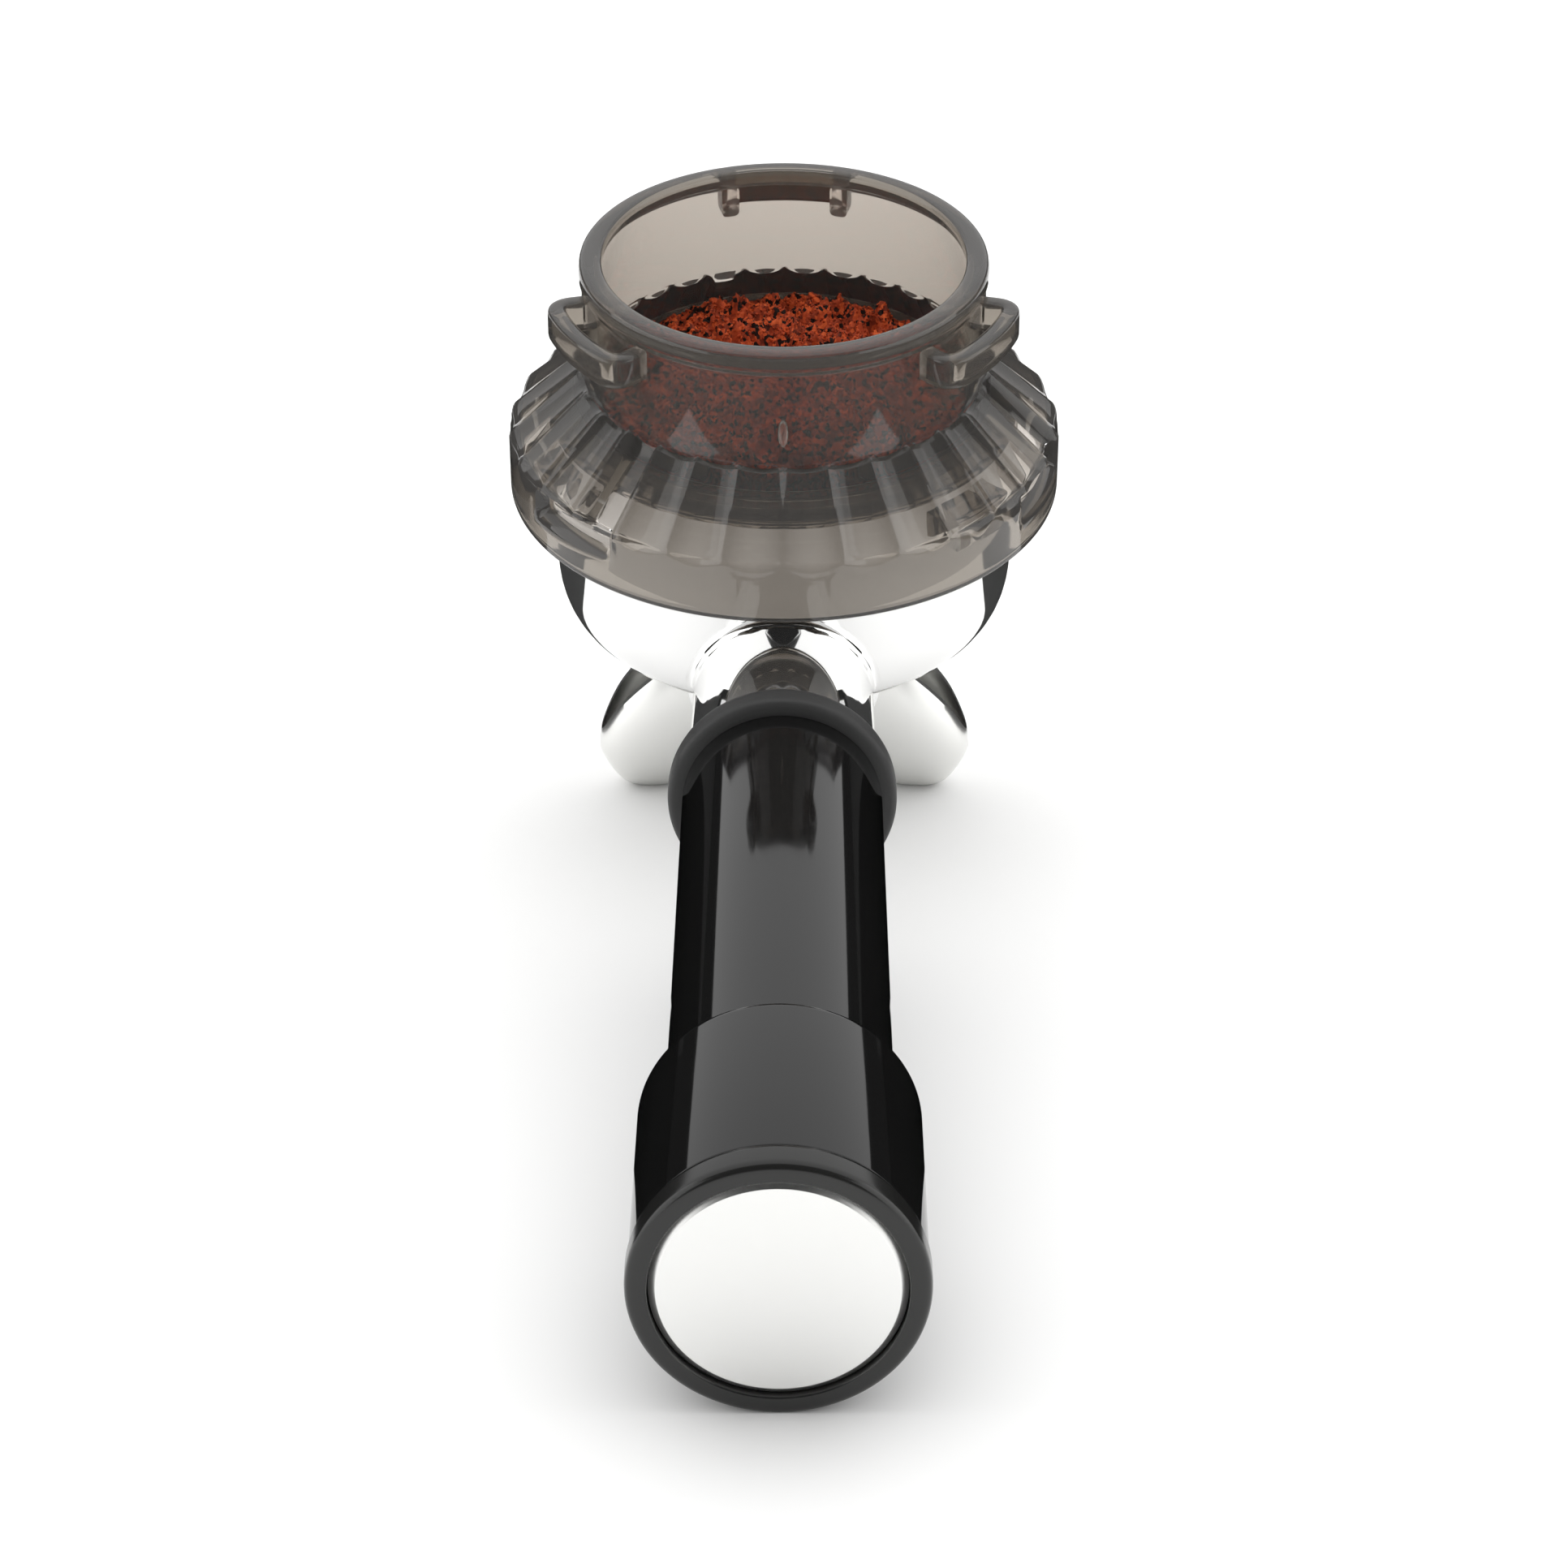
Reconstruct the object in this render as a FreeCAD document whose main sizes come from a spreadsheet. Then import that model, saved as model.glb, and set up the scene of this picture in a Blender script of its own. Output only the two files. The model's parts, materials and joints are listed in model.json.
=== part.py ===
"""Portafilter with a clear dosing funnel, its basket of ground coffee, twin spout and straight handle.

Millimetres.  Bowl pieces are drawn about Z with the bowl's rim at height 0.  Handle pieces are drawn
about Z too, with distances measured from the bowl's axis.  At the end the whole assembly is stood on
its spout and on the end of its handle, and its base centre becomes the origin.
"""
import FreeCAD, Part
import math
import os
import re
import Sketcher

SIZES = {
    # bowl, cast in one piece with its neck
    "bowl_radius": 33.25,
    "bowl_wall": 4.25,
    "bowl_depth": 34.5,
    "bowl_floor": 4.5,
    "bowl_corner": 11,
    "boss_radius": 10.5,
    "boss_drop": 2.5,
    "lug_reach": 3.4,
    "lug_top": 3.2,
    "lug_height": 4.2,
    "lug_arc": 18,
    "lug_turn": 10,
    "neck_radius": 12.85,
    "neck_bend": 52,
    "neck_dip": 10,
    "neck_root": 30,
    "elbow_radius": "neck_radius - 0.15",
    "elbow_round": "elbow_radius * 0.7",
    "neck_round": "neck_radius * 0.9",
    "neck_end": 63,
    "neck_below_rim": 15.65,
    "neck_drop": "neck_radius + neck_below_rim",
    "neck_rise": 5,
    # basket, its spring, the liner under it and the coffee in it
    "basket_clear": 2,
    "basket_bore": "bowl_radius - bowl_wall - basket_clear",
    "basket_sheet": 0.6,
    "basket_depth": 24,
    "basket_round": 2,
    "basket_round_rise": 3,
    "basket_rim_inset": 2.25,
    "basket_rim": "bowl_radius - basket_rim_inset",
    "basket_rim_height": 1,
    "spring_wire": 0.7,
    "spring_drop": 8,
    "spring_gap": 30,
    "groove_clear": 0.4,
    "liner_height": 3.6,
    "liner_thin": "liner_height / 3",
    "liner_lip": 2,
    "liner_slope": 2,
    "liner_hole": 5,
    "loose_gap": 0.4,
    "coffee_edge": 2.6,
    "coffee_crown": 6.6,
    "coffee_bend": "basket_bore * 0.55",
    "coffee_bend_height": "coffee_edge * 0.25 + coffee_crown * 0.75",
    "coffee_foot": "basket_bore - 3",
    "coffee_foot_rise": 4,
    # dosing funnel
    "collar_wall": 2,
    "collar_radius": "basket_bore + collar_wall",
    "collar_top": 24.4,
    "mouth_bead": 1.3,
    "mouth_radius": "basket_bore - mouth_bead",
    "mouth_lip": 2.6,
    "mouth_lip_slope": 0.6,
    "shoulder_top": 5.4,
    "shoulder_low": 2.4,
    "skirt_clear": 1.15,
    "skirt_radius": "bowl_radius + lug_reach + skirt_clear + collar_wall",
    "skirt_low": 12,
    "grip_reach": 5.6,
    "grip_bar": 2.7,
    "grip_height": 4.8,
    "grip_below_rim": 3.3,
    "grip_arc": 36,
    "grip_leg_arc": 4.5,
    "rib_reach": 3.4,
    "rib_height": 2.2,
    "rib_arc": 17,
    "rib_stop_arc": 4,
    "rib_overlap_arc": 0.5,
    "rib_turn": 10.5,
    # twin spout, its hollow bolt and its seal
    "seal_height": 1,
    "hub_radius": 11,
    "hub_height": 15,
    "hub_plate": 8,
    "bolt_shank": 5.9,
    "bolt_bore": 3.4,
    "bolt_head": 8,
    "bolt_head_height": 3.4,
    "bolt_head_room": 0.6,
    "bolt_grip": 6,
    "spout_half_width": 6.8,
    "spout_wall": 1.9,
    "spout_reach": 28,
    "spout_drop": 27.5,
    "spout_round": 5,
    "spout_round_drop": 18.5,
    "spout_root": 2,
    "spout_brow": "spout_reach * 0.7",
    "spout_brow_drop": 5.5,
    "spout_tip_drop": 18,
    "spout_toe": "spout_reach - 5.4",
    "spout_heel": "spout_reach * 0.5",
    "spout_crotch": "hub_radius - 3",
    "spout_crotch_drop": "hub_height + 5",
    "gutter_brow": "spout_reach * 0.78",
    "gutter_tip": "spout_reach + 1.5",
    "gutter_tip_drop": 14,
    "gutter_lip": "spout_reach - 2",
    "gutter_lip_drop": 19,
    "gutter_toe": "spout_reach - 5.8",
    "gutter_heel": "spout_reach * 0.56",
    "gutter_root": "spout_reach * 0.44",
    "gutter_root_drop": "hub_height + 3",
    "fit_gap": 0.05,
    "cut_past": 1,
    # handle
    "front_ring_radius": 15.5,
    "front_ring_length": 5,
    "front_ring_round": 2.25,
    "grip_radius": 13.5,
    "grip_swell": 0.4,
    "grip_length": 75,
    "tail_radius": 17.1,
    "tail_swell": 0.2,
    "tail_length": 31.2,
    "tail_wall": 6,
    "tail_round": 1.6,
    "core_radius": 8.3,
    "core_in_tail": 15,
    "core_length": "front_ring_length + grip_length + core_in_tail",
    "stud_radius": 4,
    "stud_depth": 16,
    "stud_spare": 2,
    "washer_radius": 8,
    "washer_height": 1.6,
    "spring_washer_height": 2.2,
    "spring_washer_radius": 7,
    "spring_washer_arc": 352,
    "nut_radius": 6.5,
    "nut_height": 6,
    "end_ring_radius": 17.6,
    "end_ring_length": 4.4,
    "end_ring_round": 2.5,
    "disc_radius": 14.9,
    "disc_height": 2.2,
    "disc_recess": 0.35,
    "disc_bevel": 1.1,
    "disc_bevel_height": 0.66,
    "plug_radius": 12,
    "plug_stub": 2,
}

SAME = 0.01
LEAST_CUT = 0.01

doc = FreeCAD.newDocument("portafilter")
sheet = doc.addObject("Spreadsheet::Sheet", "sizes")
for row, (alias, value) in enumerate(SIZES.items(), start=1):
    sheet.set(f"A{row}", alias)
    sheet.set(f"B{row}", f"={value}")
    sheet.setAlias(f"B{row}", alias)
doc.recompute()


def bound(expression):
    """The expression with each size's name pointed at its cell."""
    return re.sub(r"[a-z_]+", lambda word: "sizes." + word[0] if word[0] in SIZES else word[0], expression)


def value_of(expression):
    return float(sheet.evalExpression(bound(expression)))


def bind(thing, prop, expression):
    thing.setExpression(prop, bound(expression))


def new_body(name):
    body = doc.addObject("PartDesign::Body", name)
    body.Label = name
    return body


def new_sketch(body, role):
    sketch = body.newObject("Sketcher::SketchObject", body.Name + "_sketch")
    plane = next(item for item in body.Origin.OriginFeatures if item.Role == role)
    sketch.AttachmentSupport = [(plane, "")]
    sketch.MapMode = "FlatFace"
    return sketch


def place_point(sketch, line, across, up):
    """Tie the start point of a sketch line to its two expressions."""
    for kind, axis, expression in (("DistanceX", -2, across), ("DistanceY", -1, up)):
        if expression == "0":
            sketch.addConstraint(Sketcher.Constraint("PointOnObject", line, 1, axis))
        else:
            size = value_of(expression)
            number = sketch.addConstraint(Sketcher.Constraint(kind, -1, 1, line, 1, size))
            bind(sketch, f"Constraints[{number}]", expression)


def draw_outline(sketch, corners):
    """A closed outline of straight lines through corners given as pairs of expressions."""
    spots = [FreeCAD.Vector(value_of(across), value_of(up), 0) for across, up in corners]
    count = len(corners)
    for index in range(count):
        sketch.addGeometry(Part.LineSegment(spots[index], spots[(index + 1) % count]))
    for index in range(count):
        sketch.addConstraint(Sketcher.Constraint("Coincident", index, 2, (index + 1) % count, 1))
    for index, (across, up) in enumerate(corners):
        place_point(sketch, index, across, up)


def draw_circle(sketch, across, up, radius):
    centre = FreeCAD.Vector(value_of(across), value_of(up), 0)
    line = sketch.addGeometry(Part.Circle(centre, FreeCAD.Vector(0, 0, 1), value_of(radius)))
    number = sketch.addConstraint(Sketcher.Constraint("Radius", line, value_of(radius)))
    bind(sketch, f"Constraints[{number}]", radius)
    for kind, axis, expression in (("DistanceX", -2, across), ("DistanceY", -1, up)):
        if expression == "0":
            sketch.addConstraint(Sketcher.Constraint("PointOnObject", line, 3, axis))
        else:
            size = value_of(expression)
            number = sketch.addConstraint(Sketcher.Constraint(kind, -1, 1, line, 3, size))
            bind(sketch, f"Constraints[{number}]", expression)


def turn(body, sketch, kind="Revolution", angle="360"):
    """Revolve or groove a sketch about the body's Z axis, half the angle each way."""
    feature = body.newObject("PartDesign::" + kind, f"{body.Name}_{kind.lower()}")
    feature.Profile = sketch
    feature.ReferenceAxis = (sketch, ["V_Axis"])
    feature.Midplane = angle != "360"
    bind(feature, "Angle", angle)
    return feature


def turned(name, corners, angle="360", role="XZ_Plane"):
    body = new_body(name)
    sketch = new_sketch(body, role)
    draw_outline(sketch, corners)
    turn(body, sketch, "Revolution", angle)
    doc.recompute()
    return body


def groove(body, corners, angle="360", role="XZ_Plane"):
    """Cut a turned outline out of a body, and make sure that it cut something."""
    before = body.Shape.Volume
    sketch = new_sketch(body, role)
    draw_outline(sketch, corners)
    feature = turn(body, sketch, "Groove", angle)
    doc.recompute()
    if body.Shape.Volume > before - LEAST_CUT:
        raise ValueError(f"{feature.Name} cuts nothing")
    return feature


def prism(body, draw, kind, role, length):
    """Pad or pocket what draw puts in a sketch, half the length each side of the plane."""
    sketch = new_sketch(body, role)
    draw(sketch)
    feature = body.newObject("PartDesign::" + kind, f"{body.Name}_{kind.lower()}")
    feature.Profile = sketch
    feature.SideType = "Symmetric"
    bind(feature, "Length", length)
    doc.recompute()
    return feature


def pattern(body, features, count):
    """Repeat features about the body's Z axis."""
    repeat = body.newObject("PartDesign::PolarPattern", body.Name + "_pattern")
    repeat.Originals = features
    repeat.Axis = (features[0].Profile[0], ["V_Axis"])
    repeat.Angle = 360
    repeat.Occurrences = count
    body.Tip = repeat
    doc.recompute()


def round_rings(body, radius, rings):
    """Fillet the round edges that lie at the given (ring radius, height) pairs."""
    names = []
    solid = body.Tip
    for index, edge in enumerate(solid.Shape.Edges, start=1):
        if not isinstance(edge.Curve, Part.Circle):
            continue
        for ring, height in rings:
            near_ring = abs(edge.Curve.Radius - value_of(ring)) < SAME
            if near_ring and abs(edge.Curve.Center.z - value_of(height)) < SAME:
                names.append(f"Edge{index}")
    fillet = body.newObject("PartDesign::Fillet", body.Name + "_fillet")
    fillet.Base = (solid, names)
    bind(fillet, "Radius", radius)
    doc.recompute()


def joined(name, pieces):
    fuse = doc.addObject("Part::MultiFuse", name)
    fuse.Shapes = pieces
    fuse.Label = name
    doc.recompute()
    return fuse


def less(name, base, tool):
    cut = doc.addObject("Part::Cut", name)
    cut.Base = base
    cut.Tool = tool
    cut.Label = name
    doc.recompute()
    return cut


def turn_about_z(body, degrees):
    body.Placement = FreeCAD.Placement(FreeCAD.Vector(), FreeCAD.Rotation(degrees, 0, 0))


def handle_place():
    """From the handle's own frame to the bowl's: out towards -Y, rising a little."""
    lift = FreeCAD.Vector(0, 0, -value_of("neck_drop"))
    return FreeCAD.Placement(lift, FreeCAD.Rotation(FreeCAD.Vector(1, 0, 0), 90 - value_of("neck_rise")))


def elbow_place():
    """From the elbow's own frame to the bowl's: it starts at the neck's bend and dips to the bowl."""
    bend = handle_place().multVec(FreeCAD.Vector(0, 0, value_of("neck_bend")))
    rise = value_of("neck_rise + neck_dip")
    return FreeCAD.Placement(bend, FreeCAD.Rotation(FreeCAD.Vector(1, 0, 0), 90 - rise))


def make_bowl():
    """Cast bowl with three bayonet lugs, a boss for the spout below and the neck for the handle."""
    shell = turned("bowl_shell", [
        ("0", "0"), ("bowl_radius", "0"), ("bowl_radius", "-bowl_depth"),
        ("0", "-bowl_depth")])
    round_rings(shell, "bowl_corner", [("bowl_radius", "-bowl_depth")])
    boss = turned("bowl_boss", [
        ("0", "-bowl_depth + cut_past"), ("boss_radius", "-bowl_depth + cut_past"),
        ("boss_radius", "-bowl_depth - boss_drop"), ("0", "-bowl_depth - boss_drop")])
    lugs = turned("bowl_lugs", [
        ("bowl_radius - bowl_wall / 2", "-lug_top"), ("bowl_radius + lug_reach", "-lug_top"),
        ("bowl_radius + lug_reach", "-lug_top - lug_height"),
        ("bowl_radius - bowl_wall / 2", "-lug_top - lug_height")], "lug_arc", "YZ_Plane")
    pattern(lugs, [lugs.Tip], 3)
    turn_about_z(lugs, -value_of("lug_turn"))
    start = "neck_bend - neck_radius"
    neck = turned("bowl_neck", [
        ("0", start), ("neck_radius", start), ("neck_radius", "neck_end"), ("0", "neck_end")])
    round_rings(neck, "neck_round", [("neck_radius", start)])
    neck.Placement = handle_place()
    elbow = turned("bowl_elbow", [
        ("0", "-neck_root"), ("elbow_radius", "-neck_root"), ("elbow_radius", "0 - fit_gap"),
        ("0", "0 - fit_gap")])
    round_rings(elbow, "elbow_round", [("elbow_radius", "-neck_root")])
    elbow.Placement = elbow_place()
    space = turned("bowl_space", [
        ("0", "cut_past"), ("bowl_radius - bowl_wall", "cut_past"),
        ("bowl_radius - bowl_wall", "-spring_drop + spring_wire + groove_clear"),
        ("bowl_radius - bowl_wall + spring_wire + groove_clear / 2",
         "-spring_drop + spring_wire + groove_clear"),
        ("bowl_radius - bowl_wall + spring_wire + groove_clear / 2",
         "-spring_drop - spring_wire - groove_clear"),
        ("bowl_radius - bowl_wall", "-spring_drop - spring_wire - groove_clear"),
        ("bowl_radius - bowl_wall", "-bowl_depth + bowl_floor"),
        ("bolt_shank", "-bowl_depth + bowl_floor"),
        ("bolt_shank", "-bowl_depth - boss_drop - cut_past"), ("0", "-bowl_depth - boss_drop - cut_past")])
    stud_hole = turned("stud_hole", [
        ("0", "neck_end - stud_depth"), ("stud_radius", "neck_end - stud_depth"),
        ("stud_radius", "neck_end + cut_past"), ("0", "neck_end + cut_past")])
    stud_hole.Placement = handle_place()
    casting = joined("bowl_casting", [shell, boss, lugs, neck, elbow])
    hollows = joined("bowl_hollows", [space, stud_hole])
    return less("portafilter_bowl", casting, hollows)


def make_liner():
    """Plastic flow liner lying on the floor of the bowl, with a hole over the outlet."""
    floor = "(-bowl_depth + bowl_floor)"
    return turned("bowl_liner", [
        ("liner_hole", floor), ("bowl_radius - bowl_wall - fit_gap", floor),
        ("bowl_radius - bowl_wall - fit_gap", floor + " + liner_height"),
        ("bowl_radius - bowl_wall - liner_lip", floor + " + liner_height"),
        ("bowl_radius - bowl_wall - liner_lip - liner_slope", floor + " + liner_height / 2"),
        ("liner_hole", floor + " + liner_thin")])


def make_spring():
    """Open ring of spring wire that sits in the bowl's groove and grips the basket."""
    body = new_body("basket_spring")
    sketch = new_sketch(body, "YZ_Plane")
    draw_circle(sketch, "bowl_radius - bowl_wall - groove_clear / 2", "-spring_drop", "spring_wire")
    turn(body, sketch, "Revolution", "360 - spring_gap")
    doc.recompute()
    return body


def make_basket():
    """Pressed steel basket that hangs by its rim on the bowl."""
    outer = "basket_bore + basket_sheet"
    top = "basket_rim_height + fit_gap"
    return turned("filter_basket", [
        ("0", "-basket_depth"), ("basket_bore - basket_round", "-basket_depth"),
        (outer, "-basket_depth + basket_round_rise"), (outer, "fit_gap"), ("basket_rim", "fit_gap"),
        ("basket_rim", top), ("basket_bore", top),
        ("basket_bore", "-basket_depth + basket_round_rise + basket_sheet / 2"),
        ("basket_bore - basket_round - basket_sheet / 3", "-basket_depth + basket_sheet"),
        ("0", "-basket_depth + basket_sheet")])


def make_coffee():
    """Ground coffee heaped in the basket and up inside the funnel's collar."""
    reach = "basket_bore - loose_gap"
    return turned("ground_coffee", [
        ("0", "-basket_depth + basket_sheet"), ("coffee_foot", "-basket_depth + basket_sheet"),
        (reach, "-basket_depth + coffee_foot_rise"), (reach, "coffee_edge"),
        ("coffee_bend", "coffee_bend_height"), ("0", "coffee_crown")])


def make_funnel():
    """Clear funnel: collar with a beaded mouth, sloping shoulder, skirt, finger loops and lock ribs."""
    low = "basket_rim_height + 2 * fit_gap"
    inside = "collar_radius - collar_wall"
    wall = turned("funnel_wall", [
        (inside, low), ("collar_radius", low), ("collar_radius", "shoulder_top - collar_wall"),
        ("skirt_radius - collar_wall", "-shoulder_low - collar_wall / 2"),
        ("skirt_radius - collar_wall", "-skirt_low"), ("skirt_radius", "-skirt_low"),
        ("skirt_radius", "-shoulder_low"), ("collar_radius", "shoulder_top"),
        ("collar_radius", "collar_top"), ("mouth_radius", "collar_top"),
        ("mouth_radius", "collar_top - mouth_lip + mouth_lip_slope"), (inside, "collar_top - mouth_lip")])
    round_rings(wall, "collar_wall / 2", [("collar_radius", "collar_top"), ("mouth_radius", "collar_top")])
    top = "collar_top - grip_below_rim"
    bottom = top + " - grip_height"
    loops = turned("funnel_loops", [
        ("collar_radius - collar_wall / 2", bottom), ("collar_radius + grip_reach", bottom),
        ("collar_radius + grip_reach", top), ("collar_radius - collar_wall / 2", top)],
        "grip_arc", "YZ_Plane")
    solid = loops.Tip
    slot = groove(loops, [
        ("collar_radius - collar_wall / 2", bottom + " - cut_past"),
        ("collar_radius + grip_reach - grip_bar", bottom + " - cut_past"),
        ("collar_radius + grip_reach - grip_bar", top + " + cut_past"),
        ("collar_radius - collar_wall / 2", top + " + cut_past")], "grip_arc - 2 * grip_leg_arc", "YZ_Plane")
    pattern(loops, [solid, slot], 3)
    inner = "skirt_radius - collar_wall / 2"
    ledge_top = "(-lug_top - lug_height - loose_gap * 2)"
    ledges = turned("funnel_ledges", [
        ("skirt_radius - collar_wall - rib_reach", ledge_top), (inner, ledge_top),
        (inner, ledge_top + " - rib_height"),
        ("skirt_radius - collar_wall - rib_reach", ledge_top + " - rib_height")], "rib_arc", "YZ_Plane")
    pattern(ledges, [ledges.Tip], 3)
    turn_about_z(ledges, value_of("rib_turn"))
    stops = turned("funnel_stops", [
        ("skirt_radius - collar_wall - rib_reach", ledge_top + " - rib_height"),
        (inner, ledge_top + " - rib_height"), (inner, "-shoulder_low - collar_wall / 2"),
        ("skirt_radius - collar_wall - rib_reach", "-shoulder_low")], "rib_stop_arc", "YZ_Plane")
    pattern(stops, [stops.Tip], 3)
    turn_about_z(stops, value_of("rib_turn + (rib_arc + rib_stop_arc) / 2 - rib_overlap_arc"))
    return joined("dosing_funnel", [wall, loops, ledges, stops])


def spout_height(drop):
    """Height of a point that lies a distance below the top of the spout's hub."""
    return f"(-bowl_depth - boss_drop - seal_height - {drop})"


def make_spout():
    """Twin spout: a round hub with an open gutter curving down and out on each side."""
    body = new_body("spout_body")
    half = [
        ("hub_radius - spout_root", "spout_root"), ("spout_brow", "spout_brow_drop"),
        ("spout_reach", "spout_tip_drop"), ("spout_toe", "spout_drop"), ("spout_heel", "spout_drop"),
        ("spout_crotch", "spout_crotch_drop")]
    right = [(across, spout_height(drop)) for across, drop in half]
    left = [("-(" + across + ")", up) for across, up in reversed(right)]
    prism(body, lambda sketch: draw_outline(sketch, right + left), "Pad", "XZ_Plane",
          "2 * spout_half_width")
    solid = body.Tip
    edges = []
    for index, edge in enumerate(solid.Shape.Edges, start=1):
        along_outline = abs(edge.tangentAt(edge.FirstParameter).y) < 0.5
        if along_outline and edge.CenterOfMass.z < value_of(spout_height("spout_round_drop")):
            edges.append(f"Edge{index}")
    fillet = body.newObject("PartDesign::Fillet", "spout_fillet")
    fillet.Base = (solid, edges)
    bind(fillet, "Radius", "spout_round")
    doc.recompute()
    sketch = new_sketch(body, "XZ_Plane")
    draw_outline(sketch, [
        ("0", spout_height("0")), ("hub_radius", spout_height("0")),
        ("hub_radius", spout_height("hub_height")), ("0", spout_height("hub_height"))])
    turn(body, sketch)
    doc.recompute()
    cavity = [
        ("hub_radius", "0 - cut_past"), ("gutter_brow", "0 - cut_past"), ("gutter_tip", "gutter_tip_drop"),
        ("gutter_lip", "gutter_lip_drop"), ("gutter_toe", "spout_drop + cut_past"),
        ("gutter_heel", "spout_drop + cut_past"), ("gutter_root", "gutter_root_drop")]
    right = [(across, spout_height("(" + drop + ")")) for across, drop in cavity]
    left = [("-(" + across + ")", up) for across, up in reversed(right)]
    chamber = [("0", spout_height("(hub_height - spout_wall)"))]
    ceiling = [("-hub_radius", spout_height("hub_plate")), ("hub_radius", spout_height("hub_plate"))]
    before = body.Shape.Volume
    prism(body, lambda sketch: draw_outline(sketch, ceiling + right + chamber + left), "Pocket",
          "XZ_Plane", "2 * (spout_half_width - spout_wall)")
    if body.Shape.Volume > before - LEAST_CUT:
        raise ValueError("the spout's gutters cut nothing")
    groove(body, [
        ("0", spout_height("0")), ("bolt_shank + fit_gap", spout_height("0")),
        ("bolt_shank + fit_gap", spout_height("hub_plate")),
        ("bolt_head + bolt_head_room", spout_height("hub_plate")),
        ("bolt_head + bolt_head_room", spout_height("(hub_height - spout_wall)")),
        ("0", spout_height("(hub_height - spout_wall)"))])
    return body


def make_spout_bolt():
    """Hollow bolt that passes up through the hub into the bowl's boss and lets the coffee down."""
    head_top = spout_height("hub_plate")
    return turned("spout_bolt", [
        ("bolt_bore", head_top + " - bolt_head_height"), ("bolt_head", head_top + " - bolt_head_height"),
        ("bolt_head", head_top), ("bolt_shank", head_top),
        ("bolt_shank", "-bowl_depth - boss_drop + bolt_grip"),
        ("bolt_bore", "-bowl_depth - boss_drop + bolt_grip")])


def make_spout_seal():
    """Flat seal between the bowl's boss and the spout's hub."""
    return turned("spout_seal", [
        ("bolt_shank", "-bowl_depth - boss_drop"), ("boss_radius", "-bowl_depth - boss_drop"),
        ("boss_radius", spout_height("0")), ("bolt_shank", spout_height("0"))])


GRIP_START = "(neck_end + front_ring_length)"
TAIL_START = "(neck_end + front_ring_length + grip_length)"
RING_START = "(neck_end + front_ring_length + grip_length + tail_length)"
CORE_END = "(neck_end + core_length)"


def make_front_ring():
    """Matt collar between the neck and the grip."""
    body = turned("front_ring", [
        ("core_radius + fit_gap", "neck_end"), ("front_ring_radius", "neck_end"),
        ("front_ring_radius", GRIP_START), ("core_radius + fit_gap", GRIP_START)])
    round_rings(body, "front_ring_round",
                [("front_ring_radius", "neck_end"), ("front_ring_radius", GRIP_START)])
    return body


def make_grip():
    return turned("grip_sleeve", [
        ("core_radius + fit_gap", GRIP_START), ("grip_radius", GRIP_START),
        ("grip_radius + grip_swell", TAIL_START), ("core_radius + fit_gap", TAIL_START)])


def make_tail():
    """Thicker end of the handle, hollow behind the core for the nut."""
    body = turned("tail_sleeve", [
        ("core_radius + fit_gap", TAIL_START), ("tail_radius", TAIL_START),
        ("tail_radius + tail_swell", RING_START),
        ("tail_radius - tail_wall", RING_START), ("tail_radius - tail_wall", CORE_END),
        ("core_radius + fit_gap", CORE_END)])
    round_rings(body, "tail_round", [("tail_radius", TAIL_START)])
    return body


def make_core():
    return turned("handle_core", [
        ("stud_radius + fit_gap", "neck_end"), ("core_radius", "neck_end"),
        ("core_radius", CORE_END), ("stud_radius + fit_gap", CORE_END)])


def make_washers():
    """Flat washer on the core's end and a split spring washer on it."""
    flat_top = CORE_END + " + washer_height"
    flat = turned("flat_washer", [
        ("stud_radius + fit_gap", CORE_END), ("washer_radius", CORE_END),
        ("washer_radius", flat_top), ("stud_radius + fit_gap", flat_top)])
    split = turned("spring_washer", [
        ("stud_radius + fit_gap", flat_top), ("spring_washer_radius", flat_top),
        ("spring_washer_radius", flat_top + " + spring_washer_height"),
        ("stud_radius + fit_gap", flat_top + " + spring_washer_height")], "spring_washer_arc")
    return [flat, split]


NUT_START = "(neck_end + core_length + washer_height + spring_washer_height)"


def make_nut():
    """Hexagon nut that pulls the core against the neck."""
    body = new_body("stud_nut")
    start = value_of(NUT_START)

    def hexagon(sketch):
        corners = []
        for index in range(6):
            angle = math.radians(60 * index)
            across = f"nut_radius * {math.cos(angle):.6f}"
            up = f"nut_radius * {math.sin(angle):.6f}" if index % 3 else "0"
            corners.append((across, up))
        draw_outline(sketch, corners)

    prism(body, hexagon, "Pad", "XY_Plane", "nut_height")
    prism(body, lambda sketch: draw_circle(sketch, "0", "0", "stud_radius"), "Pocket", "XY_Plane",
          "nut_height + 2 * cut_past")
    body.Placement.Base = FreeCAD.Vector(0, 0, start + value_of("nut_height") / 2)
    return body


def make_stud():
    """Threaded rod from the neck to the nut."""
    top = NUT_START + " + nut_height + stud_spare"
    return turned("handle_stud", [
        ("0", "neck_end - stud_depth"), ("stud_radius", "neck_end - stud_depth"),
        ("stud_radius", top), ("0", top)])


def make_end_ring():
    """Rounded ring that closes the tail and frames the end disc."""
    face = RING_START + " + end_ring_length"
    seat = face + " - disc_recess - disc_height"
    body = turned("end_ring", [
        ("plug_radius", RING_START), ("end_ring_radius", RING_START), ("end_ring_radius", face),
        ("disc_radius + fit_gap", face), ("disc_radius + fit_gap", seat), ("plug_radius", seat)])
    round_rings(body, "end_ring_round", [("end_ring_radius", face)])
    return body


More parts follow.
